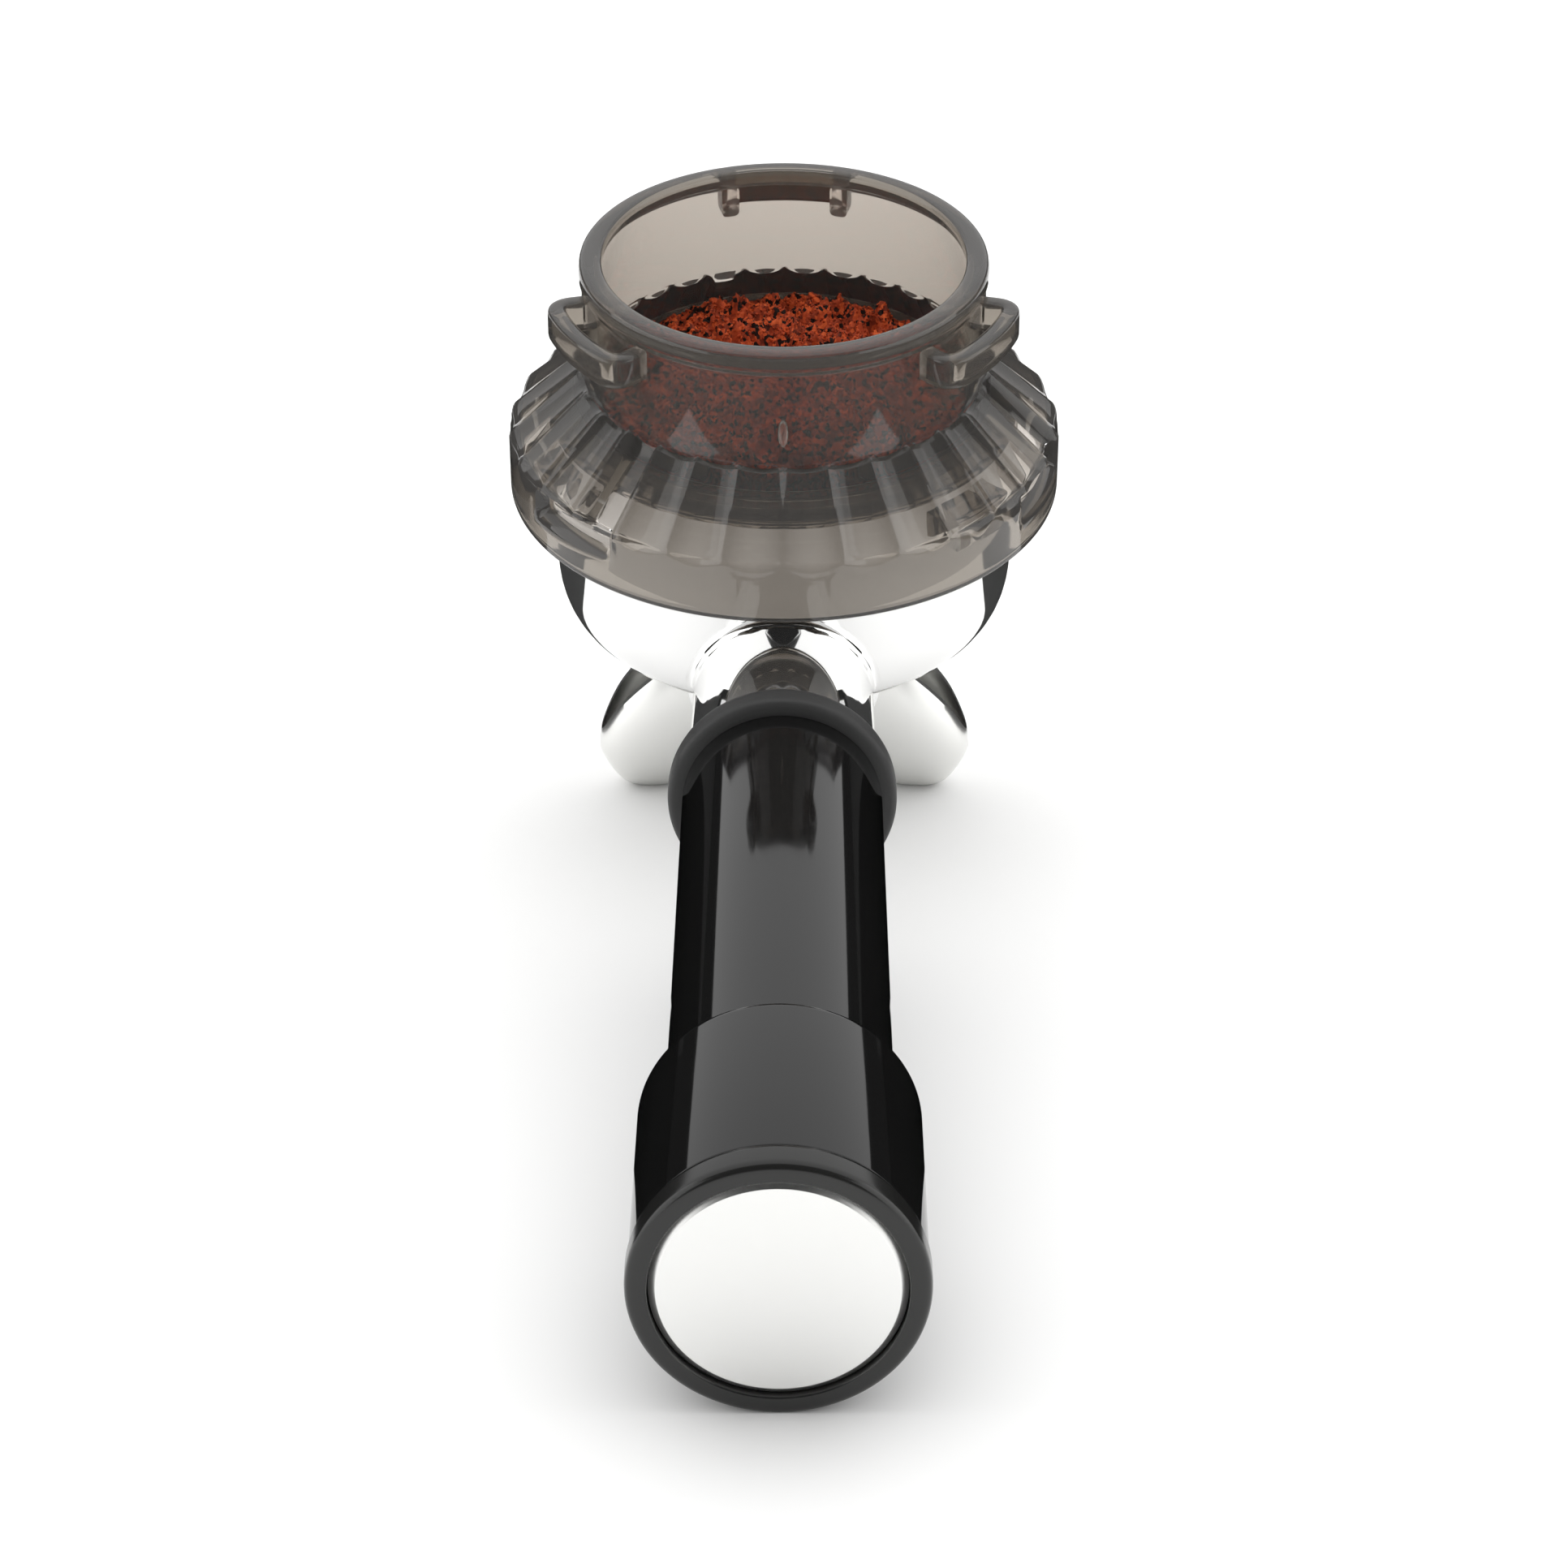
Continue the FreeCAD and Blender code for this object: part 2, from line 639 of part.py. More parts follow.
def make_disc():
    """Bright disc set into the end ring."""
    face = RING_START + " + end_ring_length - disc_recess"
    return turned("end_disc", [
        ("0", face + " - disc_height"), ("disc_radius", face + " - disc_height"),
        ("disc_radius", face + " - disc_bevel_height"), ("disc_radius - disc_bevel", face), ("0", face)])


def make_plug():
    """Plug behind the disc, pressed into the end ring and the tail."""
    seat = RING_START + " + end_ring_length - disc_recess - disc_height"
    stub = RING_START + " - plug_stub"
    return turned("disc_plug", [
        ("0", stub), ("tail_radius - tail_wall - fit_gap", stub),
        ("tail_radius - tail_wall - fit_gap", RING_START), ("plug_radius - fit_gap", RING_START),
        ("plug_radius - fit_gap", seat), ("0", seat)])


def leaning_box(shape, tilt):
    """Box round a shape when the bowl leans towards the handle by tilt degrees."""
    lean = FreeCAD.Placement(FreeCAD.Vector(), FreeCAD.Rotation(FreeCAD.Vector(1, 0, 0), tilt))
    return shape.transformed(lean.toMatrix(), True).optimalBoundingBox(False)


def standing(bowl_pieces, handle_pieces):
    """The placement that stands the assembly on its spout and its end ring, centred on the origin."""
    shapes = [piece.Shape.copy() for piece in bowl_pieces]
    for piece in handle_pieces:
        shapes.append(piece.Shape.transformed(handle_place().toMatrix(), True))
    labels = [piece.Label for piece in bowl_pieces + handle_pieces]
    spout = shapes[labels.index("spout_body")]
    ring = shapes[labels.index("end_ring")]
    reach = value_of(RING_START)
    tilt = 0.0
    for _ in range(8):
        drop = leaning_box(ring, tilt).ZMin - leaning_box(spout, tilt).ZMin
        tilt += math.degrees(math.atan2(drop, reach))
    boxes = [leaning_box(shape, tilt) for shape in shapes]
    floor = min(box.ZMin for box in boxes)
    middle = (min(box.YMin for box in boxes) + max(box.YMax for box in boxes)) / 2
    print(f"lean {tilt:.3f} rim centre at y {-middle:.3f} z {-floor:.3f}")
    lean = FreeCAD.Rotation(FreeCAD.Vector(1, 0, 0), tilt)
    return FreeCAD.Placement(FreeCAD.Vector(0, -middle, -floor), lean)


def check(pieces):
    failed = [item.Label for item in doc.Objects if {"Invalid", "Error"} & set(item.State)]
    if failed:
        raise ValueError(f"not built: {failed}")
    for piece in pieces:
        shape = piece.Shape
        if shape.isNull() or not shape.isValid() or not shape.Solids:
            raise ValueError(f"{piece.Label} has no valid shape")


def main():
    bowl_pieces = [make_bowl(), make_liner(), make_spring(), make_basket(), make_coffee(), make_funnel(),
                   make_spout(), make_spout_bolt(), make_spout_seal()]
    handle_pieces = [make_front_ring(), make_grip(), make_tail(), make_core(), *make_washers(), make_nut(),
                     make_stud(), make_end_ring(), make_disc(), make_plug()]
    doc.recompute()
    stance = standing(bowl_pieces, handle_pieces)
    for piece in bowl_pieces:
        piece.Placement = stance.multiply(piece.Placement)
    for piece in handle_pieces:
        piece.Placement = stance.multiply(handle_place()).multiply(piece.Placement)
    doc.recompute()
    check(bowl_pieces + handle_pieces)
    os.makedirs("parts", exist_ok=True)
    for piece in bowl_pieces + handle_pieces:
        piece.Shape.exportStep(f"parts/{piece.Label}.step")


main()
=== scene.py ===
"""Looks of the portafilter: chromed bowl and spout, clear dosing funnel, ground coffee, black handle.

Pieces are drawn in millimetres in one of two frames and carried into the shared frame by a matrix:
the bowl frame has its rim at height 0 and its axis along Z, and the handle frame has the handle's
axis along Z, measured from the bowl's axis.
"""

import json
import math

import bmesh
import bpy
from mathutils import Matrix, Vector, noise


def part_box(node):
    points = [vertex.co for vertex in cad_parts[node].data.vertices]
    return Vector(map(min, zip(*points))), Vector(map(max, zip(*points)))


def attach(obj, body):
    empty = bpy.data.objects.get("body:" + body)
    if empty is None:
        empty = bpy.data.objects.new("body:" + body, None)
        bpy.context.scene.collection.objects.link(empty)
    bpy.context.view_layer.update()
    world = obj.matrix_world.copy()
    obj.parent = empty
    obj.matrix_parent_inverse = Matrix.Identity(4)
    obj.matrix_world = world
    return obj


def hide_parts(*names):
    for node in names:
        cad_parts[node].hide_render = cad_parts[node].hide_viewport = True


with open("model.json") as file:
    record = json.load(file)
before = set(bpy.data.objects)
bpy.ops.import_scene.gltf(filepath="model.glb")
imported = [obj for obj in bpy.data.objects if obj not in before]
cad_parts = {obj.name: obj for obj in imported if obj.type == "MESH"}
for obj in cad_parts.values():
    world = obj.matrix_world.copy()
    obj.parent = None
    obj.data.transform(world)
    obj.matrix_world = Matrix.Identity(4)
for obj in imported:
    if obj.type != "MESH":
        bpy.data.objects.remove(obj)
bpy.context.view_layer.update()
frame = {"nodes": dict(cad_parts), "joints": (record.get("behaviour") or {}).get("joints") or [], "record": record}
MM = 0.001
MOST_OF_EDGE = 0.49

# bowl, in millimetres
BOWL_R = 33.25
BOWL_BORE = 29.0
BOWL_DEEP = 34.5
BOWL_FLOOR = 30.0
BOWL_CORNER = 11.0
BOSS_R = 10.5
BOSS_LOW = 37.0
OUTLET_R = 5.9
GROOVE = (6.9, 9.1, 0.9)
LUG = {"inside": 32.0, "reach": 36.65, "top": -3.2, "low": -7.4, "arc": 18.0, "middle": 170.0}
NECK_R = 12.85
NECK_END = 63.0
NECK_FILLET = 2.4
NECK_BEND = 52.0
NECK_EASE = 6.0
NECK_DIP = 10.0
STUD_HOLE = 49.0
STUD_HOLE_R = 4.0
NECK_SEARCH_FROM = 18.0
NECK_SEARCH_STEP = 0.05
NECK_SHORTEST = 23.0
NECK_FLARE = 0.5
NECK_CHAMFER = 0.5
NECK_ROOT_STEPS = (-1.0, -0.5, 0.0, 0.08, 0.2, 0.4, 0.65, 0.95, 1.3, 1.8, NECK_FILLET)
NECK_SPANS = 12

# dosing funnel
COLLAR_R = 29.0
COLLAR_IN = 27.0
COLLAR_TOP = 24.4
COLLAR_LOW = 1.1
MOUTH_R = 25.7
SKIRT_R = 39.8
SKIRT_IN = 37.4
SKIRT_LOW = -12.0
SHOULDER_TOP = 5.4
SHOULDER_LOW = -2.4
FLUTES = 30
FLUTE_DEPTH = 0.9
DENT_DEPTH = 1.9
DENT_TURN = -41.3
DENT_EDGE = 1.3
DENT_ROUND = 0.1
DENT_STEM = {"half_width": 2.1, "middle": 0.2, "half_height": 6.8}
DENT_FOOT = {"middle": -5.9, "half_width": 8.0, "height": -5.0, "half_height": 1.6}
DENT_BULGE = 0.45
DENT_BULGE_EDGE = 1.8
FLUTE_RUNOUT = 0.42
FLUTE_START = 0.25
BULGE_BELOW = 1.5
BULGE_SKIN = 0.3
BULGE_EASE = 1.2
SIDE_BAND = 1.0
NO_FLUTE_EDGE = 0.01
ROOT_HEIGHT = 3.0
SKIRT_SKIN = 0.9
FOOT_LEFT_PLAIN = 3.0
SKIRT_BEND = 1.6
FUNNEL_TURNS = 480
FUNNEL_SPAN = 0.9
LOOP_R = 33.25
LOOP_BAR = 2.7
LOOP_TOP = 21.1
LOOP_LOW = 16.3
LOOP_HALF_ARC = 16.4

# coffee and basket
COFFEE_R = 26.5
COFFEE_EDGE = 2.6
COFFEE_CROWN = 6.9
LUMPS = {"fineness": 0.19, "height": 1.5}
CLODS = {"fineness": 0.42, "height": 1.45, "sunk": 0.9}
HOLLOW = {"depth": 2.2, "across": 1.0, "along": -8.0, "wide": 4.0, "long": 50.0}
LEVEL_EDGE = 0.86
COFFEE_TURNS = 288
COFFEE_SHELLS = 70
GRAINS = {"Density": 1.9e6, "Smallest": 0.00014, "Largest": 0.00036}
BASKET_DEEP = 24.0

# spout
SPOUT_TOP = -38.0
SPOUT_WIDE = 7.2
LIP_TURN = math.radians(50)
SPOUT_WALL = 1.6

# handle, measured from the bowl's axis
RING_FROM, RING_TO, RING_R = 63.0, 68.0, 15.5
GRIP_TO, GRIP_R0, GRIP_R1 = 143.0, 13.5, 13.9
TAIL_TO, TAIL_R0, TAIL_R1 = 174.2, 17.1, 17.3
END_TO, END_R = 178.6, 17.6
DISC_R, DISC_FROM, DISC_TO = 14.9, 176.0, 178.25
CORE_R = 8.35

# view
VIEW_PITCH = math.radians(23.7)
VIEW_TURN = math.radians(0.21)
VIEW_DISTANCE = 0.652
VIEW_LENS = 102.5
AIM_BELOW = 0.045

# light: height, middle along Y, size and power of the overhead panel, and how bright the room is
LIGHT_HEIGHT = 0.75
LIGHT_ALONG = 1.65
LIGHT_SIZE = (3.2, 3.9)
LIGHT_POWER = 38.0
ROOM_IN_MIRRORS = 0.02
ROOM_ON_MATT = 0.85
WALL_GLOW = 0.55

# dark cards that only reflections see: name, centre, width, height, facing and tone
CARDS = [
    ("card_by_grip", (0.0835, 0.004, 0.018), 0.14, 0.036, (0, -1, 0), 0.003),
    ("card_by_tail", (0.0845, -0.045, 0.0145), 0.14, 0.029, (0, -1, 0), 0.003),
    ("card_by_bowl", (0.075, 0.105, 0.025), 0.09, 0.05, (0, -1, 0), 0.05),
    ("card_in_front", (0.158, -0.09, 0.052), 0.316, 0.224, (0, 0, 1), 0.003),
    ("card_beside", (0.181, 0.092, 0.052), 0.28, 0.14, (0, 0, 1), 0.003),
]

# the strip round the front of the bowl under the skirt, a painted reflection of the shade there in the bowl's
# chrome, in millimetres and degrees
STRIP = {"half_turn": 96, "spans": 48, "top": -1.0, "low": -15.5}

# white walls left and right: distance from the middle, place along Y, height, length and height of the wall
WALL_AWAY, WALL_ALONG, WALL_UP, WALL_LONG, WALL_HIGH = 0.7, -0.3, 0.3, 1.0, 0.6


# ---------------------------------------------------------------- frames

def middle(node):
    low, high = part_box(node)
    return (Vector(low) + Vector(high)) / 2


def bowl_frame():
    hinge = next(joint for joint in frame["joints"] if joint["name"] == "stack_turn")
    axis = Vector(hinge["axis"])
    lean = math.atan2(-axis.y, axis.z)
    return Matrix.Translation(hinge["pos_m"]) @ Matrix.Rotation(lean, 4, "X") @ Matrix.Scale(MM, 4)


def handle_frame():
    ring = middle("front_ring")
    along = (middle("handle_stud") - ring).normalized()
    turn = Vector((0, 0, 1)).rotation_difference(along).to_matrix().to_4x4()
    start = ring - along * (RING_FROM + RING_TO) / 2 * MM
    return Matrix.Translation(start) @ turn @ Matrix.Scale(MM, 4)


BOWL = bowl_frame()
HANDLE = handle_frame()


# ---------------------------------------------------------------- mesh helpers

def finish_mesh(name, verts, faces, place, sharp=38.0, merge=1e-4):
    """A mesh object from millimetre points, merged, facing outwards and set in the shared frame."""
    mesh = bpy.data.meshes.new(name)
    mesh.from_pydata([tuple(v) for v in verts], [], faces)
    work = bmesh.new()
    work.from_mesh(mesh)
    bmesh.ops.remove_doubles(work, verts=work.verts, dist=merge)
    bmesh.ops.recalc_face_normals(work, faces=work.faces)
    work.to_mesh(mesh)
    work.free()
    mesh.transform(place)
    for polygon in mesh.polygons:
        polygon.use_smooth = True
    mesh.set_sharp_from_angle(angle=math.radians(sharp))
    piece = bpy.data.objects.new(name, mesh)
    bpy.context.collection.objects.link(piece)
    return piece


def rounded(corners, steps=7):
    """Outline through (across, up, radius) corners, each with its radius turned into an arc."""
    points = []
    count = len(corners)
    for index in range(count):
        here = Vector(corners[index][:2])
        radius = corners[index][2]
        back = Vector(corners[index - 1][:2]) - here
        ahead = Vector(corners[(index + 1) % count][:2]) - here
        if radius == 0 or back.length == 0 or ahead.length == 0:
            points.append(here)
            continue
        half = back.angle(ahead) / 2
        run = min(radius / math.tan(half), MOST_OF_EDGE * back.length, MOST_OF_EDGE * ahead.length)
        first = here + back.normalized() * run
        last = here + ahead.normalized() * run
        for step in range(steps + 1):
            t = step / steps
            points.append(here.lerp(first, 1 - t).lerp(last.lerp(here, 1 - t), t))
    return points


def ring_mesh(rings, closed_profile):
    """Vertices and faces of a ring of outlines, one outline at each angle."""
    across = len(rings[0])
    verts = [point for ring in rings for point in ring]
    faces = []
    count = len(rings)
    spans = across if closed_profile else across - 1
    for index in range(count):
        ahead = (index + 1) % count
        for step in range(spans):
            other = (step + 1) % across
            faces.append((index * across + step, ahead * across + step,
                          ahead * across + other, index * across + other))
    return verts, faces


def spun_point(radius, height, angle):
    return Vector((radius * math.sin(angle), -radius * math.cos(angle), height))


def lathe(name, corners, place, turns=160, closed=True, sharp=38.0):
    """Turn an outline about Z.  A solid's outline starts and ends on the axis, a ring's is closed."""
    outline = rounded(corners)
    rings = []
    for index in range(turns):
        angle = math.tau * index / turns
        rings.append([spun_point(point.x, point.y, angle) for point in outline])
    verts, faces = ring_mesh(rings, closed)
    return finish_mesh(name, verts, faces, place, sharp)


def sector(corners, start, arc, steps=14):
    """Part of a turned ring between two angles in degrees, closed at both ends."""
    outline = rounded(corners, 4)
    across = len(outline)
    verts = []
    for index in range(steps + 1):
        angle = math.radians(start + arc * index / steps)
        verts += [spun_point(point.x, point.y, angle) for point in outline]
    faces = []
    for index in range(steps):
        for step in range(across):
            other = (step + 1) % across
            faces.append((index * across + step, (index + 1) * across + step,
                          (index + 1) * across + other, index * across + other))
    faces.append(tuple(range(across)))
    faces.append(tuple(range(steps * across, (steps + 1) * across)))
    return verts, faces


def put_together(parts):
    verts, faces = [], []
    for more_verts, more_faces in parts:
        base = len(verts)
        verts += more_verts
        faces += [tuple(base + index for index in face) for face in more_faces]
    return verts, faces


def smooth(value):
    value = min(max(value, 0.0), 1.0)
    return value * value * (3 - 2 * value)


def refine(points, longest):
    """The same closed outline with no stretch longer than the given length."""
    finer = []
    for index, point in enumerate(points):
        ahead = points[(index + 1) % len(points)]
        parts = max(1, math.ceil((ahead - point).length / longest))
        finer += [point.lerp(ahead, step / parts) for step in range(parts)]
    return finer


# ---------------------------------------------------------------- bowl and neck

def neck_drop(along):
    """How far the neck's middle lies below the handle's axis, before it bends up into line."""
    slope = math.tan(math.radians(NECK_DIP))
    late = NECK_BEND + NECK_EASE
    if along > late:
        return 0.0
    if along > NECK_BEND - NECK_EASE:
        return slope * (late - along) ** 2 / (4 * NECK_EASE)
    return slope * (NECK_BEND - along)


def neck_point(radius, angle, along):
    return Vector((radius * math.cos(angle), radius * math.sin(angle) - neck_drop(along), along))


def neck_wall(angle):
    """How far along the handle the neck's side leaves the bowl at an angle round the neck."""
    carry = BOWL.inverted() @ HANDLE
    reach = NECK_SEARCH_FROM
    while reach < NECK_END:
        point = carry @ neck_point(NECK_R, angle, reach)
        drop = -point.z - (BOWL_DEEP - BOWL_CORNER)
        allowed = BOWL_R
        if drop > 0:
            allowed = BOWL_R - BOWL_CORNER + math.sqrt(max(BOWL_CORNER ** 2 - drop ** 2, 0.0))
        if math.hypot(point.x, point.y) > allowed or drop > BOWL_CORNER:
            return reach
        reach += NECK_SEARCH_STEP
    return reach


def neck_shell():
    """Neck from inside the bowl's wall to the handle, flaring a little where it meets the bowl."""
    around = 128
    rings = []
    walls = [max(neck_wall(math.tau * index / around), NECK_SHORTEST) for index in range(around)]
    for index in range(around):
        angle = math.tau * index / around
        ring = [neck_point(0, 0, walls[index] + NECK_ROOT_STEPS[0])]
        for step in NECK_ROOT_STEPS:
            gap = 1 - min(max(step, 0.0) / NECK_FILLET, 1.0)
            flare = NECK_FILLET * NECK_FLARE * (1 - math.sqrt(max(1 - gap * gap, 0.0)))
            radius = NECK_R + flare
            ring.append(neck_point(radius, angle, walls[index] + step))
        root = walls[index] + NECK_FILLET
        for part in range(1, NECK_SPANS + 1):
            along = root + (NECK_END - NECK_CHAMFER - root) * part / NECK_SPANS
            ring.append(neck_point(NECK_R, angle, along))
        for along, radius in ((NECK_END, NECK_R - NECK_CHAMFER), (NECK_END, STUD_HOLE_R),
                              (STUD_HOLE, STUD_HOLE_R), (STUD_HOLE, 0.0)):
            ring.append(Vector((radius * math.cos(angle), radius * math.sin(angle), along)))
        rings.append(ring)
    return ring_mesh(rings, False)


def make_bowl(finish):
    bore_low, bore_high, groove_deep = -GROOVE[1], -GROOVE[0], GROOVE[2]
    outline = rounded([
        (BOWL_R, 0, 0.7), (BOWL_R, -BOWL_DEEP, BOWL_CORNER), (BOSS_R, -BOWL_DEEP, 1.6),
        (BOSS_R, -BOSS_LOW, 0.5), (OUTLET_R, -BOSS_LOW, 0), (OUTLET_R, -BOWL_FLOOR, 0.5),
        (BOWL_BORE, -BOWL_FLOOR, 1.5), (BOWL_BORE, bore_low, 0), (BOWL_BORE + groove_deep, bore_low, 0),
        (BOWL_BORE + groove_deep, bore_high, 0), (BOWL_BORE, bore_high, 0), (BOWL_BORE, 0, 0.4)], 14)
    rings = []
    turns = 200
    for index in range(turns):
        angle = math.tau * index / turns
        rings.append([spun_point(point.x, point.y, angle) for point in outline])
    parts = [ring_mesh(rings, True)]
    for index in range(3):
        start = LUG["middle"] - LUG["arc"] / 2 + 120 * index
        corners = [(LUG["inside"], LUG["top"], 0), (LUG["reach"], LUG["top"], 0.7),
                   (LUG["reach"], LUG["low"], 0.7), (LUG["inside"], LUG["low"], 0)]
        parts.append(sector(corners, start, LUG["arc"]))
    verts, faces = neck_shell()
    carry = BOWL.inverted() @ HANDLE
    parts.append(([carry @ point for point in verts], faces))
    verts, faces = put_together(parts)
    piece = finish_mesh("bowl_casting", verts, faces, BOWL, 42.0)
    return settle(piece, finish, "portafilter", "chromed_brass", "portafilter_bowl")


# ---------------------------------------------------------------- dosing funnel

def dent_gap(turn, height):
    """Signed distance in millimetres to the L-shaped dent nearest to a point of the skirt."""
    around = (turn - DENT_TURN + 60) % 120 - 60
    across = math.radians(around) * SKIRT_R
    stem = max(abs(across) - DENT_STEM["half_width"],
               abs(height - DENT_STEM["middle"]) - DENT_STEM["half_height"])
    foot = max(abs(across - DENT_FOOT["middle"]) - DENT_FOOT["half_width"],
               abs(height - DENT_FOOT["height"]) - DENT_FOOT["half_height"])
    return min(stem, foot) - DENT_ROUND


def flute_depth(turn, radius, height):
    """How deep the shoulder's flutes are at a point of the outline."""
    part = (turn * FLUTES / 360) % 1.0
    bow = 1 - (2 * part - 1) ** 2
    if height < SHOULDER_LOW:
        return max(0.0, FLUTE_DEPTH * bow - FLUTE_RUNOUT * (SHOULDER_LOW - height))
    return FLUTE_DEPTH * bow * smooth((radius - COLLAR_R) / FLUTE_START)


def funnel_outline():
    """Section of the funnel's wall, from the skirt's foot up outside, over the mouth and down inside."""
    corners = rounded([
        (SKIRT_IN, SKIRT_LOW, 0.5), (SKIRT_R, SKIRT_LOW, 0.7), (SKIRT_R, SHOULDER_LOW, 2.2),
        (COLLAR_R + 0.9, SHOULDER_TOP + 1.3, 0.3), (COLLAR_R, SHOULDER_TOP + 1.7, 0.4),
        (COLLAR_R - 0.3, COLLAR_TOP - 3.4, 0.8), (COLLAR_R + 0.1, COLLAR_TOP - 2.6, 0.5),
        (COLLAR_R + 0.1, COLLAR_TOP, 1.5), (MOUTH_R, COLLAR_TOP, 1.5),
        (MOUTH_R + 0.2, COLLAR_TOP - 2.0, 0.5), (COLLAR_IN, COLLAR_TOP - 2.8, 0.6),
        (COLLAR_IN, COLLAR_LOW, 0.3),
        (COLLAR_R - 0.2, COLLAR_LOW, 0.3), (COLLAR_R, SHOULDER_TOP - 2.2, 0.8),
        (SKIRT_IN, SHOULDER_LOW - 1.2, 1.0)], 6)
    return refine(corners, FUNNEL_SPAN)


def faces_outwards(radius, height):
    """True on the outer side of the shoulder and skirt, where flutes and dents are pressed."""
    slope = Vector((SKIRT_R - COLLAR_R, SHOULDER_LOW - SHOULDER_TOP)).normalized()
    past = (height - SHOULDER_TOP) * slope.x - (radius - COLLAR_R) * slope.y > -SIDE_BAND
    beside_collar = radius > COLLAR_R + NO_FLUTE_EDGE and height < SHOULDER_TOP + ROOT_HEIGHT
    on_skirt = radius > SKIRT_R - SKIRT_SKIN
    return beside_collar and (past or on_skirt) and height > SKIRT_LOW + FOOT_LEFT_PLAIN


def pressed_point(radius, height, turn):
    """An outline point after the flutes and dents at this turn have moved it."""
    signed = (turn + 180) % 360 - 180
    if faces_outwards(radius, height):
        press = smooth(0.5 - dent_gap(signed, height) / DENT_EDGE)
        depth = flute_depth(turn, radius, height) * (1 - press) + DENT_DEPTH * press
        slope = Vector((SKIRT_R - COLLAR_R, SHOULDER_LOW - SHOULDER_TOP)).normalized()
        lean = Vector((-slope.y, slope.x))
        aim = Vector((1, 0)).lerp(lean, smooth((height - SHOULDER_LOW) / SKIRT_BEND + 0.5))
        return radius - aim.x * depth, height - aim.y * depth
    top = SHOULDER_LOW - BULGE_BELOW
    if abs(radius - SKIRT_IN) < BULGE_SKIN and height < top:
        press = smooth(0.5 - dent_gap(signed, height) / DENT_BULGE_EDGE)
        return radius - DENT_BULGE * press * smooth((top - height) / BULGE_EASE), height
    return radius, height


def funnel_shell():
    """Collar, shoulder and skirt with flutes and dents pressed into them."""
    outline = funnel_outline()
    rings = []
    for index in range(FUNNEL_TURNS):
        turn = 360 * index / FUNNEL_TURNS
        angle = math.radians(turn)
        rings.append([spun_point(*pressed_point(point.x, point.y, turn), angle) for point in outline])
    return ring_mesh(rings, True)


def loop_bar(turn):
    """Finger loop: a bar that leaves the collar, runs round it and comes back."""
    half = math.radians(LOOP_HALF_ARC)
    inner = COLLAR_R - 0.35
    corner = 2.6
    path = []
    for sign in (-1, 1):
        leg = [Vector((inner * math.sin(sign * half), -inner * math.cos(half)))]
        out = Vector((math.sin(sign * half), -math.cos(half)))
        leg.append(out * (LOOP_R - corner))
        bend = math.asin(corner / LOOP_R)
        top = LOOP_R * Vector((math.sin(sign * (half - bend)), -math.cos(half - bend)))
        knee = out * LOOP_R
        for step in range(1, 9):
            t = step / 8
            leg.append(leg[1].lerp(knee, t).lerp(knee.lerp(top, t), t))
        path = leg if sign < 0 else path + leg[::-1]
    corner_at = len(path) // 2
    arc = []
    spread = half - math.asin(corner / LOOP_R)
    for step in range(1, 12):
        angle = -spread + 2 * spread * step / 12
        arc.append(LOOP_R * Vector((math.sin(angle), -math.cos(angle))))
    path = path[:corner_at] + arc + path[corner_at:]
    section = rounded([(-LOOP_BAR / 2, LOOP_LOW, 0.9), (LOOP_BAR / 2, LOOP_LOW, 0.9),
                       (LOOP_BAR / 2, LOOP_TOP, 0.9), (-LOOP_BAR / 2, LOOP_TOP, 0.9)], 4)
    swing = Matrix.Rotation(math.radians(turn), 3, "Z")
    verts = []
    for index, spot in enumerate(path):
        ahead = path[min(index + 1, len(path) - 1)]
        behind = path[max(index - 1, 0)]
        run = (ahead - behind).normalized()
        side = Vector((run.y, -run.x))
        for point in section:
            flat = spot + side * point.x
            verts.append(swing @ Vector((flat.x, flat.y, point.y)))
    across = len(section)
    faces = []
    for index in range(len(path) - 1):
        for step in range(across):
            other = (step + 1) % across
            faces.append((index * across + step, (index + 1) * across + step,
                          (index + 1) * across + other, index * across + other))
    faces.append(tuple(range(across)))
    faces.append(tuple(range((len(path) - 1) * across, len(path) * across)))
    return verts, faces


def front_mark():
    """Small raised lozenge on the collar that shows which way the funnel faces."""
    verts, faces = [], []
    rows, columns = 10, 16
    for row in range(rows + 1):
        rise = math.pi * row / rows
        for column in range(columns):
            angle = math.tau * column / columns
            flat = math.sin(rise)
            verts.append(Vector((0.75 * flat * math.cos(angle), -COLLAR_R - 0.5 * flat * math.sin(angle),
                                 12.2 + 2.2 * math.cos(rise))))
    for row in range(rows):
        for column in range(columns):
            other = (column + 1) % columns
            faces.append((row * columns + column, row * columns + other,
                          (row + 1) * columns + other, (row + 1) * columns + column))
    return verts, faces


def make_funnel(finish):
    parts = [funnel_shell(), front_mark()]
    for index in range(3):
        parts.append(loop_bar(60 + 120 * index))
    verts, faces = put_together(parts)
    piece = finish_mesh("funnel_moulding", verts, faces, BOWL, 50.0)
    return settle(piece, finish, "funnel", "smoked_plastic", "dosing_funnel")


# ---------------------------------------------------------------- coffee

